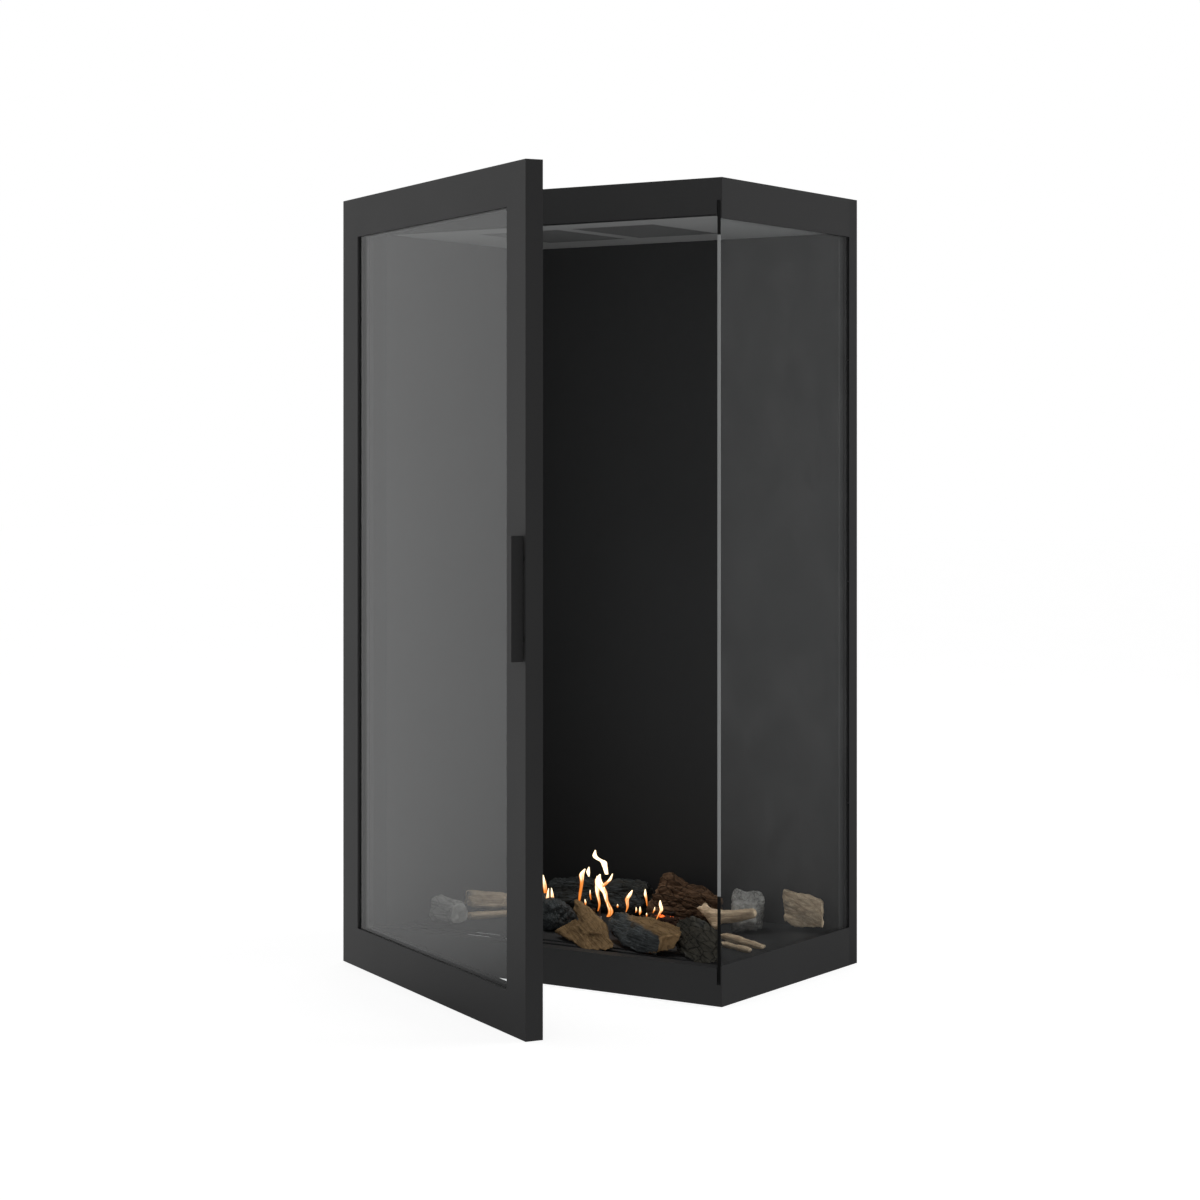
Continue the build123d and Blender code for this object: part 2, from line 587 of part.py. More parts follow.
for name, shift in (("ignition_electrode", -PROBE_SPACING), ("flame_sensor", PROBE_SPACING)):
    with BuildPart() as probe:
        with BuildSketch(Plane((PILOT_X + shift, PILOT_Y, FLOOR_TOP + BURNER_SHEET))):
            Circle(PROBE_SLEEVE_RADIUS)
        extrude(amount=PROBE_SLEEVE_HEIGHT)
        with BuildSketch(Plane((PILOT_X + shift, PILOT_Y, FLOOR_TOP + PROBE_SLEEVE_HEIGHT))):
            Circle(PROBE_RADIUS)
        extrude(amount=PROBE_HEIGHT - PROBE_SLEEVE_HEIGHT)
    finish(probe, name)

# Flue outlet: an inner pipe for the burnt gas and an outer one for the air
with BuildPart() as flue_collar_inner:
    with BuildSketch(Plane((FLUE_X, FLUE_Y, BODY_HEIGHT - FLUE_SOCKET_LENGTH))):
        Circle(FLUE_RADIUS + FLUE_WALL)
        Circle(FLUE_RADIUS, mode=Mode.SUBTRACT)
    extrude(amount=FLUE_SOCKET_LENGTH)
finish(flue_collar_inner, "flue_collar_inner")

with BuildPart() as flue_collar_outer:
    with BuildSketch(Plane((FLUE_X, FLUE_Y, BODY_HEIGHT - AIR_SOCKET_LENGTH))):
        Circle(AIR_RADIUS)
        Circle(AIR_RADIUS - FLUE_WALL, mode=Mode.SUBTRACT)
    extrude(amount=AIR_SOCKET_LENGTH)
    with BuildSketch(Plane((FLUE_X, FLUE_Y, TOP_PANEL_TOP))):
        Circle(AIR_RADIUS + 4 * FLUE_WALL)
        Circle(AIR_RADIUS, mode=Mode.SUBTRACT)
    extrude(amount=FLUE_WALL)
    with BuildSketch(Plane((FLUE_X, FLUE_Y, BODY_HEIGHT - AIR_SOCKET_LENGTH))):
        with PolarLocations((AIR_RADIUS + FLUE_RADIUS) / 2, 3):
            Rectangle(AIR_RADIUS - FLUE_RADIUS - FLUE_WALL, 3 * FLUE_WALL)
    extrude(amount=FLUE_WALL)
    with BuildSketch(Plane((FLUE_X, FLUE_Y, BODY_HEIGHT - AIR_SOCKET_LENGTH))):
        Circle(FLUE_RADIUS + FLUE_WALL)
    extrude(amount=FLUE_WALL, mode=Mode.SUBTRACT)
finish(flue_collar_outer, "flue_collar_outer")

# Pressure relief flaps: each lies on the rim of its opening and hinges at the back
FLAP_LOW = TOP_PANEL_TOP + FLAP_LIFT
FLAP_PIN_Z = FLAP_LOW + FLAP_KNUCKLE_RADIUS
FLAP_PIN_Y = FLAP_Y + FLAP_DEPTH / 2 + FLAP_KNUCKLE_RADIUS
EAR_SHIFT = (FLAP_KNUCKLE_LENGTH + FLAP_EAR_WIDTH) / 2 + FLAP_EAR_GAP
for side_name, flap_x in (("left", -FLAP_X), ("right", FLAP_X)):
    with BuildPart() as relief_flap:
        with BuildSketch(Plane((flap_x, FLAP_Y, FLAP_LOW))):
            Rectangle(FLAP_WIDTH, FLAP_DEPTH)
        extrude(amount=FLAP_SHEET)
        for shift in (-FLAP_KNUCKLE_SPACING / 2, FLAP_KNUCKLE_SPACING / 2):
            knuckle_x = flap_x + shift - FLAP_KNUCKLE_LENGTH / 2
            with BuildSketch(Plane.YZ.offset(knuckle_x)):
                with Locations((FLAP_PIN_Y, FLAP_PIN_Z)):
                    Circle(FLAP_KNUCKLE_RADIUS)
                with Locations((FLAP_PIN_Y - FLAP_KNUCKLE_RADIUS, FLAP_LOW + FLAP_SHEET / 2)):
                    Rectangle(2 * FLAP_KNUCKLE_RADIUS, FLAP_SHEET)
                with Locations((FLAP_PIN_Y, FLAP_PIN_Z)):
                    Circle(FLAP_PIN_RADIUS + FLAP_PIN_FIT, mode=Mode.SUBTRACT)
            extrude(amount=FLAP_KNUCKLE_LENGTH)
    finish(relief_flap, "relief_flap_" + side_name)

with BuildPart() as flap_hinges:
    for flap_x in (-FLAP_X, FLAP_X):
        for shift in (-FLAP_KNUCKLE_SPACING / 2, FLAP_KNUCKLE_SPACING / 2):
            for ear in (-EAR_SHIFT, EAR_SHIFT):
                ear_x = flap_x + shift + ear - FLAP_EAR_WIDTH / 2
                foot_height = FLAP_PIN_Z - TOP_PANEL_TOP
                with BuildSketch(Plane.YZ.offset(ear_x)):
                    with Locations((FLAP_PIN_Y, FLAP_PIN_Z)):
                        Circle(FLAP_KNUCKLE_RADIUS)
                    with Locations((FLAP_PIN_Y, TOP_PANEL_TOP + foot_height / 2)):
                        Rectangle(2 * FLAP_KNUCKLE_RADIUS - FLAP_EAR_RELIEF, foot_height)
                extrude(amount=FLAP_EAR_WIDTH)
            pin_half = EAR_SHIFT + FLAP_EAR_WIDTH / 2
            with BuildSketch(Plane.YZ.offset(flap_x + shift - pin_half)):
                with Locations((FLAP_PIN_Y, FLAP_PIN_Z)):
                    Circle(FLAP_PIN_RADIUS)
            extrude(amount=2 * pin_half)
finish(flap_hinges, "flap_hinges")

# Door hinge blocks, catch magnets and casing screws
BLOCK_RIGHT = LEFT + CASING_SHEET + HINGE_BLOCK_SIDE
BLOCK_REAR = FRONT + CASING_SHEET + HINGE_BLOCK_SIDE
with BuildPart() as hinge_blocks:
    for leg in HINGE_LEGS:
        block_top = leg - HINGE_PIN_RADIUS - HINGE_LIFT
        slab(
            (LEFT + CASING_SHEET, BLOCK_RIGHT),
            (FRONT + CASING_SHEET, BLOCK_REAR),
            (block_top - HINGE_BLOCK_HEIGHT, block_top),
        )
        with BuildSketch(Plane((PIVOT_X, PIVOT_Y, block_top))):
            Circle(HINGE_PIN_RADIUS + HINGE_RUNNING_FIT)
        extrude(amount=-HINGE_BLOCK_HEIGHT, mode=Mode.SUBTRACT)
finish(hinge_blocks, "hinge_blocks")

MAGNET_X = RIGHT - MAGNET_FROM_RIGHT
magnet_heights = (FRONT_BAND_BOTTOM / 2, BODY_HEIGHT - FRONT_BAND_TOP / 2)
with BuildPart() as catch_magnets:
    with BuildSketch(Plane.XZ.offset(-FRONT - BAND_SHEET)):
        with Locations(*[(MAGNET_X, z) for z in magnet_heights]):
            Circle(MAGNET_RADIUS)
    extrude(amount=-MAGNET_LENGTH)
finish(catch_magnets, "catch_magnets")

with BuildPart() as casing_screws:
    with BuildSketch(rear_plane):
        with screw_spots:
            RegularPolygon(SCREW_SHANK_RADIUS, SCREW_SIDES)
    extrude(amount=-SCREW_LENGTH)
    with BuildSketch(rear_plane):
        with screw_spots:
            RegularPolygon(SCREW_HEAD_RADIUS, 6)
    extrude(amount=SCREW_HEAD_HEIGHT)
finish(casing_screws, "casing_screws")

# Door, drawn shut and then swung to the angle at which it stands
GLASS_WIDTH = DOOR_WIDTH - 2 * DOOR_BORDER + 2 * DOOR_REBATE - 2 * GLASS_PLAY
GLASS_HEIGHT = BODY_HEIGHT - 2 * DOOR_BORDER + 2 * DOOR_REBATE - 2 * GLASS_PLAY
REBATE_BORDER = DOOR_BORDER - DOOR_REBATE
GLASS_FRONT = DOOR_FRONT + DOOR_LIP
GLASS_BACK = GLASS_FRONT + DOOR_GLASS_SHEET
ROPE_DEPTH = DOOR_GAP - ROPE_CLEARANCE
with BuildPart() as door_frame:
    ring(door_plane(DOOR_FRONT), DOOR_WIDTH, BODY_HEIGHT, DOOR_BORDER, -DOOR_LIP)
    body_depth = DOOR_FRAME_DEPTH - DOOR_LIP
    ring(door_plane(GLASS_FRONT), DOOR_WIDTH, BODY_HEIGHT, REBATE_BORDER, -body_depth)
    outer_edges = edges().filter_by(Axis.Z).group_by(Axis.Y)[0]
    fillet([outer_edges.sort_by(Axis.X)[0], outer_edges.sort_by(Axis.X)[-1]], EDGE_ROUND)
    for leg in HINGE_LEGS:
        with BuildSketch(Plane(origin=(PIVOT_X, DOOR_MIDDLE, leg), z_dir=(0, -1, 0))):
            Circle(HINGE_PIN_RADIUS + HINGE_RUNNING_FIT)
        extrude(amount=HINGE_LEG_GRIP, mode=Mode.SUBTRACT)
swing_open(door_frame)
finish(door_frame, "door_frame")

with BuildPart() as door_glass:
    with BuildSketch(door_plane(GLASS_FRONT)):
        Rectangle(GLASS_WIDTH, GLASS_HEIGHT)
    extrude(amount=-DOOR_GLASS_SHEET)
swing_open(door_glass)
finish(door_glass, "door_glass")

ROPE_PAD = (DOOR_MIDDLE - GLASS_BACK) / 3
PAD_WIDTH = GLASS_WIDTH - 2 * GLASS_PLAY
PAD_HEIGHT = GLASS_HEIGHT - 2 * GLASS_PLAY
with BuildPart() as glass_seal:
    ring(door_plane(GLASS_BACK), PAD_WIDTH, PAD_HEIGHT, ROPE_WIDTH, -ROPE_PAD)
swing_open(glass_seal)
finish(glass_seal, "glass_seal")

with BuildPart() as glass_retainer:
    retainer_plane = door_plane(GLASS_BACK + ROPE_PAD)
    ring(retainer_plane, PAD_WIDTH, PAD_HEIGHT, ROPE_WIDTH, -2 * ROPE_PAD)
swing_open(glass_retainer)
finish(glass_retainer, "glass_retainer")

SEAL_WIDTH = DOOR_WIDTH - 2 * SEAL_INSET
SEAL_HEIGHT = BODY_HEIGHT - 2 * SEAL_INSET
with BuildPart() as door_backing_frame:
    ring(door_plane(DOOR_MIDDLE), DOOR_WIDTH, BODY_HEIGHT, DOOR_BORDER, -DOOR_BACKING_DEPTH)
    groove = door_plane(DOOR_BACK - ROPE_IN_GROOVE)
    with BuildSketch(groove):
        Rectangle(SEAL_WIDTH + FIT_GAP, SEAL_HEIGHT + FIT_GAP)
        inner = 2 * ROPE_WIDTH + FIT_GAP
        Rectangle(SEAL_WIDTH - inner, SEAL_HEIGHT - inner, mode=Mode.SUBTRACT)
    extrude(amount=-ROPE_IN_GROOVE, mode=Mode.SUBTRACT)
    for leg in HINGE_LEGS:
        with BuildSketch(Plane(origin=(PIVOT_X, DOOR_BACK, leg), z_dir=(0, -1, 0))):
            Circle(HINGE_PIN_RADIUS + HINGE_RUNNING_FIT)
        extrude(amount=DOOR_BACKING_DEPTH, mode=Mode.SUBTRACT)
swing_open(door_backing_frame)
finish(door_backing_frame, "door_backing_frame")

with BuildPart() as door_seal:
    ring(groove, SEAL_WIDTH, SEAL_HEIGHT, ROPE_WIDTH, -ROPE_IN_GROOVE - ROPE_DEPTH)
swing_open(door_seal)
finish(door_seal, "door_seal")

with BuildPart() as hinge_pins:
    for leg in HINGE_LEGS:
        leg_reach = PIVOT_Y - DOOR_BACK + DOOR_BACKING_DEPTH + HINGE_LEG_GRIP - FIT_GAP
        with BuildSketch(Plane(origin=(PIVOT_X, PIVOT_Y, leg), z_dir=(0, -1, 0))):
            Circle(HINGE_PIN_RADIUS)
        extrude(amount=leg_reach)
        with Locations((PIVOT_X, PIVOT_Y, leg)):
            Sphere(HINGE_PIN_RADIUS)
        with BuildSketch(Plane((PIVOT_X, PIVOT_Y, leg))):
            Circle(HINGE_PIN_RADIUS)
        extrude(amount=-HINGE_PIN_LENGTH - HINGE_PIN_RADIUS)
swing_open(hinge_pins)
finish(hinge_pins, "hinge_pins")

HANDLE_RIGHT = DOOR_RIGHT - HANDLE_FROM_EDGE
HANDLE_BACK = DOOR_FRONT - HANDLE_STANDOFF
HANDLE_TOP = HANDLE_FROM_BASE + HANDLE_LENGTH
with BuildPart() as handle_bar:
    slab(
        (HANDLE_RIGHT - HANDLE_WIDTH, HANDLE_RIGHT),
        (HANDLE_BACK - HANDLE_DEPTH, HANDLE_BACK),
        (HANDLE_FROM_BASE, HANDLE_TOP),
    )
    fillet(edges().filter_by(Axis.Y, reverse=True), EDGE_ROUND)
swing_open(handle_bar)
finish(handle_bar, "handle_bar")

with BuildPart() as handle_spacers:
    spacer_x = HANDLE_RIGHT - HANDLE_WIDTH / 2
    low = HANDLE_FROM_BASE + HANDLE_SPACER_INSET
    high = HANDLE_TOP - HANDLE_SPACER_INSET
    with BuildSketch(Plane.XZ.offset(-DOOR_FRONT)):
        with Locations((spacer_x, low), (spacer_x, high)):
            Circle(HANDLE_SPACER_RADIUS)
    extrude(amount=HANDLE_STANDOFF)
swing_open(handle_spacers)
finish(handle_spacers, "handle_spacers")

# Fire bed: an ember mound on the burner and cast logs that stand on the floor
EMBER_WIDTH = 130.0
EMBER_SIDES = 12
EMBER_HEIGHT = 9.0
EMBER_SLOPE = 60.0
EMBER_LEFT_OF_FORK = 48.95
EMBER_BEFORE_FORK = 50.782
FORK_START = (0.7, 0.66)


def floor_spot(share):
    """Place on the floor at a share of its width from the left and depth from the front."""
    spot_x = LINER_LEFT + share[0] * (LEDGE_INSIDE - LINER_LEFT)
    spot_y = FRONT + share[1] * (LINER_BACK - FRONT)
    return spot_x, spot_y


fork_x, fork_y = floor_spot(FORK_START)
ember_spot = (fork_x - EMBER_LEFT_OF_FORK, fork_y - EMBER_BEFORE_FORK, FLOOR_TOP)
with BuildPart() as ember_bed:
    with BuildSketch(Plane(ember_spot)):
        RegularPolygon(EMBER_WIDTH / 2, EMBER_SIDES)
    extrude(amount=EMBER_HEIGHT, taper=EMBER_SLOPE)
finish(ember_bed, "ember_bed")

LOG_RADIUS = 25.0
LOG_SIDES = 11
LOG_SQUAT = 0.82
CHISEL_MARK = 0.012
LOG_SWELLS = ((0, 0.86), (0.12, 1.0), (0.5, 0.97), (0.86, 1.0), (1, 0.84))
LUMP_THREE = 0.09
LUMP_FIVE = 0.05


def log_outline(radius, flats, turn):
    """Points round one cut through a log: lumpy bark, split flats, a flat foot."""
    under = radius * LOG_SQUAT
    points = []
    for side in range(LOG_SIDES):
        angle = 2 * pi * side / LOG_SIDES
        reach = 1 + LUMP_THREE * cos(3 * angle + turn) + LUMP_FIVE * cos(5 * angle + 2 * turn)
        reach *= radius
        for flat_angle, share in flats:
            facing = cos(angle - radians(flat_angle))
            if facing * reach > share * radius:
                reach = share * radius / facing
        if -sin(angle) * reach > under:
            reach = under / -sin(angle)
        reach *= 1 - CHISEL_MARK * (side % 2)
        points.append((reach * cos(angle), reach * sin(angle)))
    return points


def cast_log(name, start, end, sizes, flats=()):
    """Makes one log between two spots on the floor of the chamber.

    A spot is a share of the floor's width from the left and of its depth from the
    front. Sizes are the radii at both ends as shares of the usual log's radius.
    Flats are split faces: an angle round the log and a distance as a share of its
    radius.
    """
    centres = []
    radii = [size * LOG_RADIUS for size in sizes]
    for spot, radius in zip((start, end), radii):
        spot_x, spot_y = floor_spot(spot)
        centres.append(Vector(spot_x, spot_y, FLOOR_TOP + radius * LOG_SQUAT))
    axis = (centres[1] - centres[0]).normalized()
    across = Vector(0, 0, 1).cross(axis).normalized()
    phase = atan2(axis.Y, axis.X) + sizes[0]
    with BuildPart() as log:
        profiles = []
        for share, swell in LOG_SWELLS:
            centre = centres[0] + (centres[1] - centres[0]) * share
            radius = (radii[0] + (radii[1] - radii[0]) * share) * swell
            plane = Plane(origin=centre, x_dir=across, z_dir=axis)
            with BuildSketch(plane) as profile:
                Polygon(*log_outline(radius, flats, phase), align=None)
            profiles.append(profile.sketch)
        loft(profiles, ruled=True)
    return finish(log, name)


cast_log("log_rear_charred", (0.165, 0.845), (0.455, 0.885), (1.0, 1.15))
cast_log("log_rear_bark", (0.515, 0.83), (0.68, 0.845), (1.5, 0.95))
cast_log("log_right_ash", (0.765, 0.75), (0.835, 0.8), (1.3, 1.25))
cast_log("log_right_split", (0.877, 0.93), (0.953, 0.935), (1.1, 0.84), flats=((0, 0.6), (90, 0.8)))
cast_log("log_left_charred", (0.272, 0.5), (0.408, 0.342), (1.0, 0.95))
cast_log("log_front_left_split", (0.48, 0.29), (0.634, 0.09), (1.5, 0.84), flats=((60, 0.6), (150, 0.7)))
cast_log("log_front_middle_split", (0.63, 0.3), (0.785, 0.115), (0.9, 1.0), flats=((75, 0.55), (0, 0.7)))
cast_log("log_front_right_charred", (0.82, 0.27), (0.945, 0.09), (0.8, 0.96))
cast_log("log_fork_pale", FORK_START, (0.86, 0.6), (0.72, 0.5), flats=((90, 0.6),))
cast_log("log_left_split", (0.03, 0.5), (0.12, 0.6), (0.95, 0.85), flats=((250, 0.7), (70, 0.6)))
cast_log("log_left_round", (0.05, 0.26), (0.135, 0.23), (0.88, 0.8))
cast_log("log_stick_left", (0.1, 0.37), (0.19, 0.6), (0.32, 0.28), flats=((90, 0.5),))
cast_log("log_stick_right_long", (0.81, 0.56), (0.965, 0.45), (0.28, 0.24), flats=((90, 0.5),))
cast_log("log_stick_right_short", (0.86, 0.42), (0.96, 0.36), (0.24, 0.2), flats=((90, 0.5),))
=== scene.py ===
import json
import logging
import math
from dataclasses import dataclass
from enum import Enum
from typing import Any, Sequence

import bmesh
import bpy
import numpy as np
from mathutils import Matrix, Vector, noise


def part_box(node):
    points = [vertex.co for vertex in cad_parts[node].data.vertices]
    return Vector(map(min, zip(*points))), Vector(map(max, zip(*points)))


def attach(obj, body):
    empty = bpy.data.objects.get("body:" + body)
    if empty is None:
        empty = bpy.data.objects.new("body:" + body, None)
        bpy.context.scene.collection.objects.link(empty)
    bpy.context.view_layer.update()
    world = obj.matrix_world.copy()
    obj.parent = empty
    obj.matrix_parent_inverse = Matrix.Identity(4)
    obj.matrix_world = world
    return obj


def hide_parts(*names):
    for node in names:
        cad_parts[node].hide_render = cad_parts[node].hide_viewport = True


# Looks of a tall two-sided gas fireplace. Metres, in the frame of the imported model.
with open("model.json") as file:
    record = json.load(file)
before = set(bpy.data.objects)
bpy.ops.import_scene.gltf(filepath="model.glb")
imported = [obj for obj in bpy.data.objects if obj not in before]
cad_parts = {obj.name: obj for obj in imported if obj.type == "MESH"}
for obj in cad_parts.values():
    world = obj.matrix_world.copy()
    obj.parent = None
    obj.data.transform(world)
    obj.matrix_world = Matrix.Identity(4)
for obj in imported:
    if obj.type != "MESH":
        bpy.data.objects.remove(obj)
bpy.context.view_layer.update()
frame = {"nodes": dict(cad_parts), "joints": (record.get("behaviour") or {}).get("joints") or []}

Colour = tuple[float, float, float]
Spot = tuple[float, float, float]
FIXED_BODY = "fire_body"
DOOR_BODY = "door"
GOLDEN_ANGLE = 2.39996
BROWNED_SHARES = (0.45, 0.62)
EDGE_DEPTH = 0.0009
# Heights between which the side glass's ground edge is painted pale as lit; above and below them it is
# painted dark as shade.
EDGE_PAINTED_LIT_BETWEEN = (0.147, 1.023)
reporter = logging.getLogger("fireplace")


def scaled(colour: Colour, factor: float) -> Colour:
    """A colour made lighter or darker by a factor."""
    return tuple(part * factor for part in colour)


class Signal:
    """A shader value on which plain arithmetic adds Math nodes."""

    def __init__(self, shader: "Shader", socket: bpy.types.NodeSocket) -> None:
        """Keeps the socket and the shader that it belongs to."""
        self.shader = shader
        self.socket = socket

    def _math(self, operation: str, *values: Any) -> "Signal":
        """Adds one Math node.

        Args:
            operation: the Math node's operation.
            values: its inputs in order.

        Returns:
            The node's result.
        """
        made = self.shader.node("ShaderNodeMath", {"operation": operation}, dict(enumerate(values)))
        return Signal(self.shader, made.outputs[0])

    def __add__(self, other: Any) -> "Signal":
        """Sum."""
        return self._math("ADD", self, other)

    def __sub__(self, other: Any) -> "Signal":
        """Difference."""
        return self._math("SUBTRACT", self, other)

    def __rsub__(self, other: Any) -> "Signal":
        """Difference with the plain number first."""
        return self._math("SUBTRACT", other, self)

    def __mul__(self, other: Any) -> "Signal":
        """Product."""
        return self._math("MULTIPLY", self, other)

    def __pow__(self, other: Any) -> "Signal":
        """Power."""
        return self._math("POWER", self, other)

    __radd__ = __add__

    def between(self, low: float, high: float) -> "Signal":
        """Smooth step.

        Args:
            low: where the result leaves 0.
            high: where the result reaches 1; below low, the step runs down.

        Returns:
            A value from 0 to 1.
        """
        made = self.shader.node(
            "ShaderNodeMapRange",
            {"interpolation_type": "SMOOTHSTEP"},
            {"Value": self, "From Min": low, "From Max": high},
        )
        return Signal(self.shader, made.outputs[0])

    def most(self, other: Any) -> "Signal":
        """The larger of two values."""
        return self._math("MAXIMUM", self, other)


class Shader:
    """The node tree of one finish."""

    def __init__(self, name: str) -> None:
        """Starts an empty material of that name."""
        self.material = bpy.data.materials.new(name)
        self.material.use_nodes = True
        self.tree = self.material.node_tree
        self.tree.nodes.clear()
        self.place = self.node("ShaderNodeTexCoord").outputs["Object"]

    @classmethod
    def of_tree(cls, tree: bpy.types.NodeTree) -> "Shader":
        """Works on a tree that exists, such as the world's."""
        made = cls.__new__(cls)
        made.tree = tree
        tree.nodes.clear()
        return made

    def node(self, kind: str, settings: dict | None = None, inputs: dict | None = None) -> bpy.types.Node:
        """Adds one node.

        Args:
            kind: the node's type.
            settings: its own properties, set before its inputs.
            inputs: values or links of its sockets, by name or number.

        Returns:
            The node.
        """
        made = self.tree.nodes.new(kind)
        for key, value in (settings or {}).items():
            setattr(made, key, value)
        for key, value in (inputs or {}).items():
            if isinstance(value, Signal):
                value = value.socket
            if isinstance(value, bpy.types.NodeSocket):
                self.tree.links.new(value, made.inputs[key])
            else:
                made.inputs[key].default_value = value
        return made

    def mix(self, low: Any, high: Any, factor: Any) -> bpy.types.NodeSocket:
        """Blends two colours.

        Args:
            low: colour or socket at factor 0.
            high: colour or socket at factor 1.
            factor: value from 0 to 1.

        Returns:
            The blended colour's socket.
        """
        ends = [(*c, 1.0) if isinstance(c, tuple) else c for c in (low, high)]
        made = self.node("ShaderNodeMix", {"data_type": "RGBA"}, {0: factor, 6: ends[0], 7: ends[1]})
        return made.outputs[2]

    def stretched(self, place: bpy.types.NodeSocket, scale: Sequence[float]) -> bpy.types.NodeSocket:
        """Coordinates scaled by a Mapping node."""
        return self.node("ShaderNodeMapping", None, {"Vector": place, "Scale": scale}).outputs[0]

    def place_mark(self, name: str) -> bpy.types.NodeSocket:
        """Reads a place that the mesh carries at each vertex."""
        return self.node("ShaderNodeAttribute", {"attribute_name": name}).outputs["Vector"]

    def mark(self, name: str) -> Signal:
        """Reads a number that the mesh carries at each vertex."""
        return Signal(self, self.node("ShaderNodeAttribute", {"attribute_name": name}).outputs["Fac"])

    def noise(self, place: Any, scale: float, detail: float = 2.0, warp: float = 0.0) -> Signal:
        """Fractal noise.

        Args:
            place: coordinates.
            scale: features in a metre.
            detail: octaves.
            warp: distortion.

        Returns:
            A value near 0.5.
        """
        inputs = {"Vector": place, "Scale": scale, "Detail": detail, "Distortion": warp}
        return Signal(self, self.node("ShaderNodeTexNoise", None, inputs).outputs[0])

    def cells(self, place: Any, scale: float, feature: str = "F1") -> Signal:
        """Distance in a pattern of cells.

        Args:
            place: coordinates.
            scale: cells in a metre.
            feature: which distance of the Voronoi pattern.

        Returns:
            The distance.
        """
        made = self.node("ShaderNodeTexVoronoi", {"feature": feature}, {"Vector": place, "Scale": scale})
        return Signal(self, made.outputs["Distance"])

    def cell_tone(self, place: Any, scale: float) -> Signal:
        """One random value for each cell of a Voronoi pattern."""
        made = self.node("ShaderNodeTexVoronoi", None, {"Vector": place, "Scale": scale})
        parts = self.node("ShaderNodeSeparateColor", None, {0: made.outputs["Color"]})
        return Signal(self, parts.outputs[0])

    def axes(self, place: Any) -> list[Signal]:
        """The three parts of a coordinate."""
        made = self.node("ShaderNodeSeparateXYZ", None, {0: place})
        return [Signal(self, socket) for socket in made.outputs]

    def bump(self, height: Signal, distance: float, strength: float = 1.0) -> bpy.types.NodeSocket:
        """Normal of a fine relief.

        Args:
            height: the relief, about 0 to 1.
            distance: its depth in metres.
            strength: share of the effect.

        Returns:
            The normal's socket.
        """
        inputs = {"Height": height, "Distance": distance, "Strength": strength}
        return self.node("ShaderNodeBump", None, inputs).outputs[0]

    def surface(self, inputs: dict) -> bpy.types.NodeSocket:
        """Adds the principled surface and returns its shader socket."""
        if isinstance(inputs.get("Base Color"), tuple):
            inputs["Base Color"] = (*inputs["Base Color"], 1.0)
        return self.node("ShaderNodeBsdfPrincipled", None, inputs).outputs[0]

    def clear(self, tint: Colour = (1.0, 1.0, 1.0)) -> bpy.types.NodeSocket:
        """Adds a see-through surface and returns its shader socket."""
        return self.node("ShaderNodeBsdfTransparent", None, {"Color": (*tint, 1.0)}).outputs[0]

    def blend(self, factor: Any, under: Any, over: Any) -> bpy.types.NodeSocket:
        """Blends two surfaces: the first at factor 0, the second at factor 1."""
        return self.node("ShaderNodeMixShader", None, {0: factor, 1: under, 2: over}).outputs[0]

    def done(self, shader_socket: bpy.types.NodeSocket) -> bpy.types.Material:
        """Links the surface to the output and returns the material."""
        self.node("ShaderNodeOutputMaterial", None, {"Surface": shader_socket})
        return self.material


@dataclass(frozen=True)
class SheetPaint:
    """Matt powder coat or heat-proof paint, baked on sheet steel."""

    name: str
    colour: Colour
    roughness: float = 0.55
    mottle: float = 0.12
    peel: float = 0.00006
    haze: float = 0.0
    cloud_scale: float = 6.0
    speckle_scale: float = 1100.0
    fleck_scale: float = 1500.0
    peel_scale: float = 520.0
    soot: Colour = (0.006, 0.0055, 0.005)
    soot_gone_at: float = 0.75
    soot_full_at: float = 0.1

    def make(self) -> bpy.types.Material:
        """Builds the finish: orange peel, fine sparkle, faint clouds and, inside, a soot haze."""
        shader = Shader(self.name)
        clouds = shader.noise(shader.place, self.cloud_scale, 3.0)
        speckle = shader.noise(shader.place, self.speckle_scale, 1.0)
        flecks = shader.cells(shader.place, self.fleck_scale).between(0.32, 0.05)
        spread = 2 * self.mottle
        tone = (clouds - 0.5) * spread + (speckle - 0.5) * self.mottle + 0.5 + flecks * 0.06
        colour = shader.mix(scaled(self.colour, 1 - spread), scaled(self.colour, 1 + spread), tone)
        if self.haze:
            height = shader.axes(shader.place)[2]
            drift = height + (shader.noise(shader.place, 9.0, 3.0) - 0.5) * 0.3
            sooty = drift.between(self.soot_gone_at, self.soot_full_at) * self.haze
            colour = shader.mix(colour, self.soot, sooty)
        relief = shader.noise(shader.place, self.peel_scale, 2.0) + speckle * 0.4
        rough = self.roughness + (clouds - 0.5) * 0.12 + (speckle - 0.5) * 0.08
        return shader.done(shader.surface({
            "Base Color": colour,
            "Roughness": rough,
            "Specular IOR Level": 0.42,
            "Normal": shader.bump(relief, self.peel),
        }))


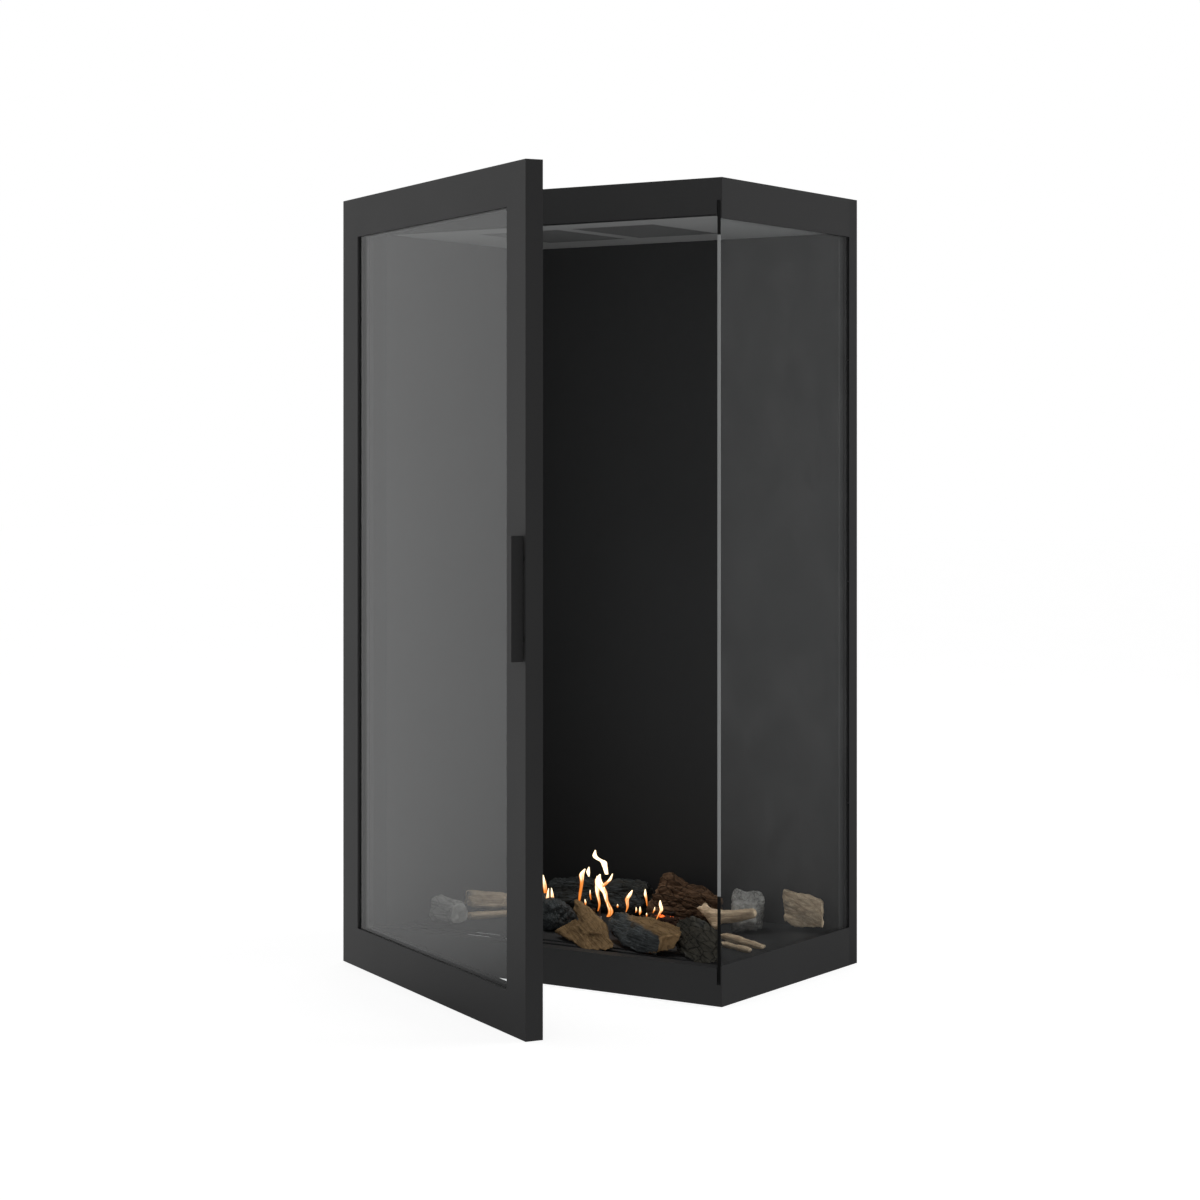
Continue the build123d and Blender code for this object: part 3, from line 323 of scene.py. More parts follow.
@dataclass(frozen=True)
class BareMetal:
    """Plain metal with drawn lines and a dulled skin."""

    name: str
    colour: Colour
    roughness: float = 0.32
    dull: Colour = (0.16, 0.15, 0.14)
    dulled: float = 0.5
    line_scale: float = 2400.0
    patch_scale: float = 90.0
    scratch_scale: float = 1500.0
    line_depth: float = 0.00003

    def make(self) -> bpy.types.Material:
        """Builds the finish: drawn lines, dull patches and small scratches."""
        shader = Shader(self.name)
        lines = shader.noise(shader.stretched(shader.place, (1.0, 1.0, 0.04)), self.line_scale, 2.0)
        patches = shader.noise(shader.place, self.patch_scale, 4.0, 0.4).between(0.45, 0.75) * self.dulled
        scratches = shader.noise(shader.stretched(shader.place, (0.05, 1.0, 1.0)), self.scratch_scale, 1.0)
        tone = (lines - 0.5) * 0.5 + 0.5
        colour = shader.mix(scaled(self.colour, 0.8), self.colour, tone)
        colour = shader.mix(colour, self.dull, patches)
        relief = lines + scratches * 0.5
        return shader.done(shader.surface({
            "Base Color": colour,
            "Metallic": 1.0 - patches * 0.5,
            "Roughness": self.roughness + patches * 0.3 + (lines - 0.5) * 0.15,
            "Normal": shader.bump(relief, self.line_depth),
        }))


@dataclass(frozen=True)
class FireGlass:
    """Clear heat-proof glass with a faint dust film; the fixed pane has a ground front edge."""

    name: str
    tint: Colour = (0.93, 0.94, 0.94)
    straight_gloss: float = 0.042
    film: float = 0.012
    film_colour: Colour = (0.5, 0.5, 0.5)
    edge_front: float | None = None
    edge_low: float = 0.0
    edge_high: float = 1.0
    edge_fade: float = 0.0015
    # Painted light and painted shade on the ground edge: pale where it is lit, near black behind the bands.
    edge_painted_light: Colour = (0.36, 0.37, 0.37)
    edge_painted_shade: Colour = (0.004, 0.004, 0.004)

    def make(self) -> bpy.types.Material:
        """Builds the finish: see-through where looked at squarely, mirror-like at a glance."""
        shader = Shader(self.name)
        glance = shader.node("ShaderNodeLayerWeight", None, {"Blend": 0.5}).outputs["Facing"]
        gloss = Signal(shader, glance) ** 5.0 * (1 - self.straight_gloss) + self.straight_gloss
        mirror = shader.surface({"Base Color": (1.0, 1.0, 1.0), "Metallic": 1.0, "Roughness": 0.015})
        pane = shader.blend(gloss, shader.clear(self.tint), mirror)
        dust = shader.noise(shader.place, 14.0, 4.0, 0.6).between(0.3, 0.8) * self.film + self.film * 0.5
        veil = shader.surface({"Base Color": self.film_colour, "Roughness": 0.9})
        pane = shader.blend(dust, pane, veil)
        if self.edge_front is not None:
            pane = self.with_edge(shader, pane)
        return shader.done(pane)

    def with_edge(self, shader: Shader, pane: bpy.types.NodeSocket) -> bpy.types.NodeSocket:
        """Adds the ground front edge, with painted light where light falls on it and painted shade behind
        the bands.

        Args:
            shader: the finish that is being built.
            pane: the clear pane's shader socket.

        Returns:
            The shader socket of the pane with its edge.
        """
        _, across, height = shader.axes(shader.place)
        ground = across.between(self.edge_front + 0.0001, self.edge_front)
        # The lit mask paints light on the edge between two heights and painted shade above and below them.
        lit = height.between(self.edge_low - self.edge_fade, self.edge_low)
        lit = lit * height.between(self.edge_high + self.edge_fade, self.edge_high)
        grit = shader.noise(shader.place, 2500.0, 2.0)
        colour = shader.mix(self.edge_painted_shade, self.edge_painted_light, lit * (0.85 + (grit - 0.5) * 0.3))
        edge = shader.surface({"Base Color": colour, "Roughness": 0.45 + (grit - 0.5) * 0.2})
        return shader.blend(ground, pane, edge)


class Wood(Enum):
    """Kinds of cast log."""

    SPLIT = "split"
    CHARRED = "charred"
    BARK = "bark"
    ASH = "ash"


# Depth of the gaps between the plates of bark or char, in metres.
PLATE_DEPTHS = {Wood.BARK: 0.0034, Wood.CHARRED: 0.0016}


@dataclass(frozen=True)
class CastWood:
    """Ceramic cast and painted as wood. It follows the grain, char and end marks of each log."""

    kind: Wood
    light: Colour
    dark: Colour
    suffix: str = ""
    char: Colour = (0.036, 0.04, 0.041)
    bloom: Colour = (0.1, 0.105, 0.11)
    bloomed: float = 0.25
    # Strength of the crack lines: their bump and the painted shade that darkens them.
    crack_and_shade_share: float = 0.3
    fibre_scale: float = 620.0
    streak_scale: float = 130.0
    stain_scale: float = 34.0
    hewn_scale: float = 480.0
    crack_scale: float = 95.0
    dust_scale: float = 260.0
    end_share: float = 0.6
    end_light: float = 1.7
    relief_depth: float = 0.0007

    def make(self) -> bpy.types.Material:
        """Builds the finish: fibres, stained patches, char, crack lines darkened with painted shade, and
        grey ash bloom.
        """
        shader = Shader(f"cast_wood_{self.kind.value}{self.suffix}")
        grain = shader.place_mark("grain")
        end = shader.mark("end")
        fibres = shader.noise(shader.stretched(grain, (0.055, 1.0, 1.0)), self.fibre_scale, 4.0, 0.3)
        streaks = shader.noise(shader.stretched(grain, (0.12, 1.0, 1.0)), self.streak_scale, 3.0, 0.5)
        stains = shader.noise(grain, self.stain_scale, 4.0, 0.6)
        hewn = shader.noise(shader.stretched(shader.place, (1.0, 1.0, 0.16)), self.hewn_scale, 3.0, 0.4)
        lines = fibres * (1 - end) + hewn * end
        tone = (lines - 0.5) * 1.3 + (streaks - 0.5) * 0.9 + (stains - 0.5) * 0.8 + 0.5
        colour = shader.mix(self.dark, self.light, tone.between(0.05, 0.95))
        drawn = shader.stretched(grain, (0.4, 1.0, 1.0))
        # Crack lines: a shallow bump, darkened with painted shade because the bump casts none.
        splits = shader.cells(drawn, self.crack_scale, "DISTANCE_TO_EDGE")
        crack_and_shade = splits.between(0.07, 0.0) * self.crack_and_shade_share
        colour = shader.mix(colour, scaled(self.dark, 0.25), crack_and_shade)
        colour = shader.mix(colour, scaled(self.light, self.end_light), end * self.end_share)
        burnt = (shader.mark("char") + (stains - 0.5) * 1.2 + (streaks - 0.5) * 0.9).between(0.2, 0.75)
        bluish = shader.mix(self.char, scaled(self.char, 2.4), fibres.between(0.4, 0.7))
        colour = shader.mix(colour, bluish, burnt)
        dust = shader.noise(grain, self.dust_scale, 5.0, 0.8).between(0.56, 0.7) * self.bloomed
        patchy = shader.noise(grain, 48.0, 3.0).between(0.4, 0.65)
        colour = shader.mix(colour, self.bloom, dust * patchy * (burnt * 0.7 + 0.3))
        relief = lines * 0.8 + streaks * 0.6 + stains * 0.5 - crack_and_shade * 1.5 + dust * 0.4
        return shader.done(shader.surface({
            "Base Color": colour,
            "Roughness": 0.86 - burnt * 0.12 + (fibres - 0.5) * 0.1,
            "Specular IOR Level": 0.3,
            "Normal": shader.bump(relief, self.relief_depth),
        }))


@dataclass(frozen=True)
class EmberCrust:
    """Crushed ember chips, brown and black, a few of them still red."""

    name: str = "ember_crust"
    chip_dark: Colour = (0.009, 0.006, 0.005)
    chip_light: Colour = (0.05, 0.023, 0.013)
    grit_colour: Colour = (0.08, 0.065, 0.055)
    hot: Colour = (1.0, 0.13, 0.02)
    heat: float = 2.2

    def make(self) -> bpy.types.Material:
        """Builds the finish: a tone for each chip, a grainy skin and a few glowing spots."""
        shader = Shader(self.name)
        tone = shader.cell_tone(shader.place, 130.0)
        grit = shader.noise(shader.place, 900.0, 3.0)
        colour = shader.mix(self.chip_dark, self.chip_light, tone)
        colour = shader.mix(colour, self.grit_colour, grit.between(0.58, 0.75) * 0.5)
        glow = shader.mark("glow") * shader.noise(shader.place, 300.0, 2.0).between(0.35, 0.6)
        return shader.done(shader.surface({
            "Base Color": colour,
            "Roughness": 0.9 - grit * 0.1,
            "Emission Color": shader.mix((0.0, 0.0, 0.0), self.hot, glow),
            "Emission Strength": self.heat,
            "Normal": shader.bump(grit, 0.0006),
        }))


@dataclass(frozen=True)
class FlameLight:
    """Burning gas: white and yellow in the core, orange at the rim and foot, clear at its edge."""

    name: str = "flame_light"
    strength: float = 2.6
    foot: Colour = (0.13, 0.01, 0.001)
    orange: Colour = (0.4, 0.12, 0.018)
    white: Colour = (1.0, 0.8, 0.5)

    def make(self) -> bpy.types.Material:
        """Builds the finish from the core and height marks of each tongue."""
        shader = Shader(self.name)
        core = shader.mark("core")
        rise = shader.mark("rise")
        wisps = shader.noise(shader.stretched(shader.place, (1.0, 1.0, 0.25)), 220.0, 2.0, 0.5)
        heat = core * 0.42 + rise * 0.68 + (wisps - 0.5) * 0.6
        warm = shader.mix(self.foot, self.orange, heat.between(0.2, 0.66))
        colour = shader.mix(warm, self.white, heat.between(0.62, 1.0))
        body = (core * 1.3 + rise * 0.25 + (wisps - 0.5) * 0.7).between(0.3, 1.15)
        lit = shader.surface({
            "Base Color": (0.0, 0.0, 0.0),
            "Emission Color": colour,
            "Emission Strength": self.strength,
            "Specular IOR Level": 0.0,
        })
        return shader.done(shader.blend(body, shader.clear(), lit))


@dataclass(frozen=True)
class WovenRope:
    """Braided glass-fibre rope."""

    name: str
    colour: Colour = (0.055, 0.053, 0.05)
    worn: Colour = (0.16, 0.155, 0.15)

    def make(self) -> bpy.types.Material:
        """Builds the finish: twisted yarns with loose fibres and grey wear."""
        shader = Shader(self.name)
        wear = shader.noise(shader.place, 70.0, 3.0)
        fibres = shader.noise(shader.place, 2600.0, 2.0, 0.6)
        colour = shader.mix(scaled(self.colour, 0.6), self.colour, fibres)
        colour = shader.mix(colour, self.worn, wear.between(0.55, 0.75) * 0.4)
        return shader.done(shader.surface({
            "Base Color": colour,
            "Roughness": 0.92 - fibres * 0.08,
            "Sheen Weight": 0.2,
            "Normal": shader.bump(fibres, 0.0003),
        }))


@dataclass(frozen=True)
class FiredCeramic:
    """Glazed white insulator, browned by heat towards its tip."""

    name: str
    browned_from: float
    browned_to: float
    glaze: Colour = (0.62, 0.6, 0.55)
    brown: Colour = (0.09, 0.06, 0.045)

    def make(self) -> bpy.types.Material:
        """Builds the finish: ivory glaze, pinholes and a brown tip."""
        shader = Shader(self.name)
        height = shader.axes(shader.place)[2]
        patches = shader.noise(shader.place, 400.0, 3.0)
        browned = (height + (patches - 0.5) * 0.006).between(self.browned_from, self.browned_to)
        colour = shader.mix(self.glaze, self.brown, browned)
        pinholes = shader.cells(shader.place, 1800.0).between(0.2, 0.05)
        return shader.done(shader.surface({
            "Base Color": colour,
            "Roughness": 0.35 + browned * 0.4 + (patches - 0.5) * 0.1,
            "Normal": shader.bump(pinholes, 0.00005, 0.6),
        }))


def linked(name: str, data: bpy.types.ID) -> bpy.types.Object:
    """Puts a mesh, light or camera into the scene as an object of that name."""
    made = bpy.data.objects.new(name, data)
    bpy.context.scene.collection.objects.link(made)
    return made


def from_bmesh(name: str, shape: bmesh.types.BMesh) -> bpy.types.Object:
    """Turns a finished bmesh into an object and frees the bmesh."""
    mesh = bpy.data.meshes.new(name)
    shape.to_mesh(mesh)
    shape.free()
    return linked(name, mesh)


def merged_copy(node: str) -> bmesh.types.BMesh:
    """A copy of a CAD node's mesh with its loose triangles joined.

    Args:
        node: the CAD node's name.

    Returns:
        The copy, to be freed by the caller.
    """
    shape = bmesh.new()
    shape.from_mesh(frame["nodes"][node].data)
    bmesh.ops.remove_doubles(shape, verts=shape.verts, dist=0.00001)
    return shape


def ring_edges(ring: Sequence[bmesh.types.BMVert]) -> list[bmesh.types.BMEdge]:
    """The edges between the vertices of one ring, each once."""
    inside = set(ring)
    near = dict.fromkeys(edge for vertex in ring for edge in vertex.link_edges)
    return [edge for edge in near if all(vertex in inside for vertex in edge.verts)]


def applied(piece: bpy.types.Object) -> None:
    """Keeps what a piece's modifiers make of it as its mesh."""
    scene_state = bpy.context.evaluated_depsgraph_get()
    mesh = bpy.data.meshes.new_from_object(piece.evaluated_get(scene_state))
    piece.modifiers.clear()
    piece.data = mesh


def modified(piece: bpy.types.Object, kind: str, settings: dict) -> None:
    """Runs one modifier on a piece and keeps its result as the mesh.

    Args:
        piece: the object.
        kind: the modifier's type.
        settings: its properties.
    """
    made = piece.modifiers.new(kind.lower(), kind)
    for key, value in settings.items():
        setattr(made, key, value)
    applied(piece)


def remeshed(piece: bpy.types.Object, voxel: float) -> bpy.types.Object:
    """Turns a piece into one closed mesh of even faces and returns it."""
    modified(piece, "REMESH", {"mode": "VOXEL", "voxel_size": voxel})
    return piece


def shade(piece: bpy.types.Object, smooth_angle: float) -> None:
    """Smooth shading with sharp edges past an angle in degrees."""
    for face in piece.data.polygons:
        face.use_smooth = True
    piece.data.set_sharp_from_angle(angle=math.radians(smooth_angle))


def dress(piece: bpy.types.Object, finish: bpy.types.Material) -> None:
    """Gives a piece one finish all over."""
    piece.data.materials.clear()
    piece.data.materials.append(finish)


def dress_node(node: str, finish: bpy.types.Material) -> None:
    """Gives a CAD node a finish in the slots that it has."""
    piece = frame["nodes"][node]
    for slot in piece.material_slots:
        slot.link = "OBJECT"
        slot.material = finish
    if not piece.material_slots:
        piece.data.materials.append(finish)
    reporter.info("dressed %s", node)


def placed(piece: bpy.types.Object, body: str, nodes: Sequence[str] = ()) -> None:
    """Rides a new piece on its body and says what it stands for.

    Args:
        piece: the new object.
        body: the CAD body it moves with.
        nodes: the CAD nodes that it replaces.
    """
    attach(piece, body)
    if nodes:
        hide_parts(*nodes)
    reporter.info("made %s, %d faces", piece.name, len(piece.data.polygons))


def fill_attribute(piece: bpy.types.Object, name: str, values: Sequence[float]) -> None:
    """Writes one number for each vertex as a mesh attribute."""
    made = piece.data.attributes.new(name, "FLOAT", "POINT")
    made.data.foreach_set("value", np.asarray(values, np.float32))


@dataclass
class GrainFrame:
    """Axes of a log: along its grain, across it, and up."""

    centre: Vector
    along: Vector
    across: Vector
    up: Vector
    half: float

    @classmethod
    def of(cls, points: Sequence[Vector]) -> "GrainFrame":
        """Finds the axes of a long mesh from its points.

        Args:
            points: the mesh's vertices.

        Returns:
            The frame, with its along axis towards +X.
        """
        cloud = np.array([tuple(point) for point in points])
        centre = (cloud.min(0) + cloud.max(0)) / 2
        along = Vector(np.linalg.eigh(np.cov((cloud - centre).T))[1][:, -1])
        if along.x < 0:
            along.negate()
        across = Vector((0, 0, 1)).cross(along).normalized()
        half = float(np.abs((cloud - centre) @ np.array(along)).max())
        return cls(Vector(centre), along, across, along.cross(across).normalized(), half)

    def local(self, point: Vector) -> Vector:
        """The point along, across and up from the centre."""
        shift = point - self.centre
        return Vector((shift.dot(self.along), shift.dot(self.across), shift.dot(self.up)))


def stretched_spot(spot: Vector, scales: Spot) -> Vector:
    """A place scaled by its own factor along each axis."""
    return Vector(part * scale for part, scale in zip(spot, scales))


@dataclass
class CastLog:
    """One cast log: the CAD log, made ragged, split, barked or cracked."""

    node: str
    kind: Wood
    char_all: float = 0.0
    char_left: float = 0.0
    char_under: float = 0.3
    char_side: Spot = (0.0, 0.0, 0.0)
    pale: bool = False
    seed: float = 0.0
    voxel: float = 0.0019
    softness: int = 6
    swell: float = 0.0034
    lumps: float = 0.0015
    fibre: float = 0.0009
    ragged: float = 0.003
    swell_scale: float = 24.0
    lump_scale: float = 85.0
    strand_scales: Spot = (14.0, 330.0, 330.0)
    torn_scales: Spot = (11.0, 85.0, 85.0)
    plate_scales: Spot = (52.0, 95.0, 95.0)
    plate_gap: float = 0.22
    ragged_scale: float = 120.0
    end_from: float = 0.72
    end_ramp: float = 0.16

    @property
    def piece_name(self) -> str:
        """The name of the piece that stands for the node."""
        return self.node.replace("log_", "") + "_cast"

    def in_box(self, share: Spot) -> Vector:
        """A place given as shares of the CAD log's box."""
        low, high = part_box(self.node)
        return low + Vector(a * b for a, b in zip(share, high - low))

    def relief(self, spot: Vector) -> float:
        """Height of the surface at one spot.

        Args:
            spot: place along, across and up in the log.

        Returns:
            How far the surface moves out, in metres.
        """
        shifted = spot + Vector((self.seed, self.seed * 0.7, -self.seed))
        height = self.swell * noise.fractal(shifted * self.swell_scale, 0.9, 2.0, 2)
        height += self.lumps * noise.fractal(shifted * self.lump_scale, 0.8, 2.1, 3)
        height += self.fibre * noise.fractal(stretched_spot(shifted, self.strand_scales), 0.8, 2.0, 2)
        if self.kind is Wood.SPLIT:
            torn = stretched_spot(shifted, self.torn_scales)
            height += self.swell * 0.45 * noise.fractal(torn, 0.9, 2.0, 2)
        depth = PLATE_DEPTHS.get(self.kind, 0.0)
        if depth:
            plate = stretched_spot(shifted, self.plate_scales)
            near = noise.voronoi(plate)[0]
            height -= depth * max(0.0, 1 - (near[1] - near[0]) / self.plate_gap)
            height += depth * 0.5 * noise.noise(plate * 0.6)
        return height

    def shape(self) -> bpy.types.Object:
        """Copies the CAD log as a fine closed mesh, its corners rounded."""
        return remeshed(from_bmesh(self.piece_name, merged_copy(self.node)), self.voxel)

    def carve(self, piece: bpy.types.Object) -> None:
        """Rounds, roughens and marks the mesh.

        Args:
            piece: the remeshed log, changed in place.
        """
        shape = bmesh.new()
        shape.from_mesh(piece.data)
        for _ in range(self.softness):
            bmesh.ops.smooth_vert(shape, verts=shape.verts, factor=0.5, use_axis_x=True,
                                  use_axis_y=True, use_axis_z=True)
        shape.normal_update()
        grain = GrainFrame.of([vertex.co for vertex in shape.verts])
        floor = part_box(self.node)[0].z
        places, chars, ends = [], [], []
        for vertex in shape.verts:
            spot = grain.local(vertex.co)
            facing = abs(vertex.normal.dot(grain.along))
            vertex.co += vertex.normal * self.relief(spot)
            across = Vector((self.seed, spot.y * self.ragged_scale, spot.z * self.ragged_scale))
            vertex.co += grain.along * (facing ** 3 * self.ragged * noise.fractal(across, 0.9, 2.0, 3))
            vertex.co.z = max(vertex.co.z, floor)
            places.append(spot + Vector((self.seed, 0, 0)))
            chars.append(self.char_at(spot.x / grain.half, vertex.normal))
            ends.append(max(0.0, min(1.0, (facing - self.end_from) / self.end_ramp)))
        shape.to_mesh(piece.data)
        shape.free()
        made = piece.data.attributes.new("grain", "FLOAT_VECTOR", "POINT")
        made.data.foreach_set("vector", np.array(places, np.float32).ravel())
        fill_attribute(piece, "char", chars)
        fill_attribute(piece, "end", ends)

    def char_at(self, share: float, normal: Vector) -> float:
        """How charred the log is at one spot.

        Args:
            share: place along the log, -1 at its left end and 1 at its right.
            normal: the way that the surface faces.

        Returns:
            0 for clean wood, 1 or more for black.
        """
        left = max(0.0, -share) ** 1.5 * self.char_left
        under = max(0.0, -normal.z) * self.char_under
        side = max(0.0, normal.dot(Vector(self.char_side)))
        return left + under + side + self.char_all

    def build(self, finish: bpy.types.Material) -> bpy.types.Object:
        """Makes the finished log and puts it on the fixed body.

        Args:
            finish: the log's material.

        Returns:
            The log's object.
        """
        piece = self.shape()
        self.carve(piece)
        shade(piece, 60.0)
        dress(piece, finish)
        placed(piece, FIXED_BODY, [self.node])
        return piece


@dataclass
class HewnLog(CastLog):
    """A log built up from hewn blocks.

    A block is the hull of its corners, given as shares of the CAD log's box.
    """

    blocks: Sequence[Sequence[Spot]] = ()
    softness: int = 2
    fibre: float = 0.0011
    ragged: float = 0.005

    def shape(self) -> bpy.types.Object:
        """Builds the blocks as hulls and joins them by remeshing."""
        shape = bmesh.new()
        for corners in self.blocks:
            spots = [shape.verts.new(self.in_box(corner)) for corner in corners]
            made = bmesh.ops.convex_hull(shape, input=spots)
            loose = {item for item in made["geom_interior"] + made["geom_unused"]
                     if isinstance(item, bmesh.types.BMVert)}
            bmesh.ops.delete(shape, geom=list(loose), context="VERTS")
        bmesh.ops.recalc_face_normals(shape, faces=shape.faces)
        return remeshed(from_bmesh(self.piece_name, shape), self.voxel)


@dataclass
class Stick(CastLog):
    """A thin pale stick."""

    kind: Wood = Wood.SPLIT
    pale: bool = True
    voxel: float = 0.0012
    swell: float = 0.001
    lumps: float = 0.0007


@dataclass
class ForkedStick(Stick):
    """The pale branch that forks: a trunk, a low arm and two short raised arms.

    Spots are shares of the CAD log's box, each with a thickness share.
    """

    voxel: float = 0.0019
    swell: float = 0.0012
    lumps: float = 0.0008
    thick: float = 0.0105
    trunk: Sequence[Spot] = ((1.06, 0.55, 1.5), (0.6, 0.6, 1.08), (0.22, 0.65, 0.9))
    arms: Sequence[Spot] = ((0.11, 0.68, 1.72), (0.0, 0.68, 1.5), (0.45, 0.4, 0.4))
    trunk_sizes: Sequence[float] = (0.72, 0.95, 1.0)
    arm_sizes: Sequence[float] = (0.34, 0.36, 0.62)

    def shape(self) -> bpy.types.Object:
        """Makes the branch from a skeleton with a skin, then remeshes it."""
        shape = bmesh.new()
        chain = [shape.verts.new(self.in_box(spot)) for spot in self.trunk]
        joined = [*zip(chain, chain[1:])]
        sizes = list(self.trunk_sizes)
        for arm, width in zip(self.arms, self.arm_sizes):
            tip = self.in_box(arm)
            middle = shape.verts.new(chain[-1].co.lerp(tip, 0.5))
            end = shape.verts.new(tip)
            joined += [(chain[-1], middle), (middle, end)]
            sizes += [(width + 1.0) / 2.4, width]
        for pair in joined:
            shape.edges.new(pair)
        piece = from_bmesh(self.piece_name, shape)
        piece.modifiers.new("skin", "SKIN")
        for vertex, width in zip(piece.data.skin_vertices[0].data, sizes):
            vertex.radius = (self.thick * width, self.thick * width)
        piece.data.skin_vertices[0].data[0].use_root = True
        applied(piece)
        modified(piece, "SUBSURF", {"levels": 2, "render_levels": 2})
        return remeshed(piece, self.voxel)


# Corners of the hewn blocks, as shares of each CAD log's box.
WEDGE_BLOCKS = (
    ((0.12, 0.78, 0.93), (0.11, 0.91, 0.85), (0.14, 0.71, 0.71), (0.44, 0.71, 0.65), (0.7, 0.57, 0.47),
     (0.87, 0.27, 0.33), (0.65, 0.27, 0.33), (0.35, 0.53, 0.5), (0.45, 0.84, 0.43), (0.46, 0.82, 0.06)),
    ((0.72, 0.53, 0.45), (0.87, 0.29, 0.32), (1.05, 0.18, 0.23), (1.08, 0.13, 0.08), (0.92, 0.07, 0.01),
     (0.68, 0.09, -0.05), (0.5, 0.22, 0.01), (0.27, 0.47, 0.27), (0.35, 0.53, 0.48), (0.57, 0.73, 0.06),
     (0.34, 0.73, -0.04)),
    ((-0.01, 0.53, 0.18), (0.02, 0.58, 0.26), (0.25, 0.6, 0.5), (0.57, 0.37, 0.46), (0.67, 0.11, -0.02),
     (0.5, 0.22, 0.03), (0.26, 0.4, 0.12), (0.01, 0.53, 0.12), (0.16, 0.73, 0.07)),
)
MIDDLE_BLOCKS = (
    ((-0.25, 0.87, 0.61), (-0.05, 0.7, 0.3), (-0.18, 0.98, 0.97), (0.02, 0.98, 1.06), (0.4, 0.79, 0.99),
     (0.86, 0.57, 0.94), (1.15, 0.44, 0.97), (1.03, 0.05, 0.77), (0.99, 0.02, 0.06), (1.25, 0.33, 0.89),
     (1.17, 0.2, 0.29), (1.11, 0.16, 0.21), (0.5, 0.26, 0.03), (0.15, 0.5, 0.17), (0.2, 1.03, 0.42),
     (0.98, 0.57, 0.43)),
)
DARK_BLOCKS = (
    ((-0.14, 0.88, 0.91), (0.08, 0.93, 1.12), (0.3, 0.95, 0.98), (0.64, 0.77, 0.69), (0.89, 0.45, 0.53),
     (1.08, 0.03, 0.14), (0.78, 0.01, -0.03), (0.42, 0.23, 0.02), (0.08, 0.47, 0.15), (-0.12, 0.71, 0.45),
     (0.16, 1.08, 0.42), (0.64, 0.88, 0.33)),
)
RIGHT_BLOCKS = (
    ((-0.14, 0.38, 1.31), (0.25, 0.29, 1.26), (0.83, 0.24, 1.14), (1.29, 0.24, 1.14), (1.36, 0.15, 0.19),
     (0.57, 0.15, 0.11), (-0.01, 0.19, 0.31), (-0.38, 1.02, 1.23), (1.02, 0.88, 0.99), (0.9, 0.97, 0.49),
     (-0.34, 1.02, 0.59)),
)


@dataclass
class LogSet:
    """All cast logs of the fire, with the finish of each kind and a paler one."""

    finishes: dict[Wood, bpy.types.Material]
    pale: bpy.types.Material

    @staticmethod
    def logs() -> list[CastLog]:
        """The logs, from the back of the fire to the front."""
        return [
            CastLog("log_rear_charred", Wood.CHARRED, char_all=0.55, seed=1.3, swell=0.005),
            CastLog("log_rear_bark", Wood.BARK, seed=2.1, swell=0.009),
            CastLog("log_right_ash", Wood.ASH, char_under=0.5, seed=3.7, swell=0.005),
            HewnLog("log_right_split", Wood.SPLIT, pale=True, char_left=0.5, seed=4.2, blocks=RIGHT_BLOCKS),
            CastLog("log_left_charred", Wood.CHARRED, char_all=1.0, seed=5.5, swell=0.005),
            HewnLog("log_front_left_split", Wood.SPLIT, char_under=0.1, seed=6.1, blocks=WEDGE_BLOCKS),
            HewnLog("log_front_middle_split", Wood.SPLIT, char_left=0.5, char_side=(-0.75, -1.0, -0.3),
                    seed=7.9, blocks=MIDDLE_BLOCKS),
            HewnLog("log_front_right_charred", Wood.CHARRED, char_all=0.1, seed=8.4, softness=5,
                    swell=0.004, blocks=DARK_BLOCKS),
            ForkedStick("log_fork_pale", char_under=0.1, seed=9.6),
            CastLog("log_left_split", Wood.SPLIT, pale=True, char_left=0.5, seed=10.2),
            CastLog("log_left_round", Wood.ASH, char_under=0.4, seed=11.8),
            Stick("log_stick_left", seed=12.1, voxel=0.0014),
            Stick("log_stick_right_long", seed=13.3),
            Stick("log_stick_right_short", seed=14.7),
        ]

    def build(self) -> None:
        """Builds every log."""
        for item in self.logs():
            item.build(self.pale if item.pale else self.finishes[item.kind])


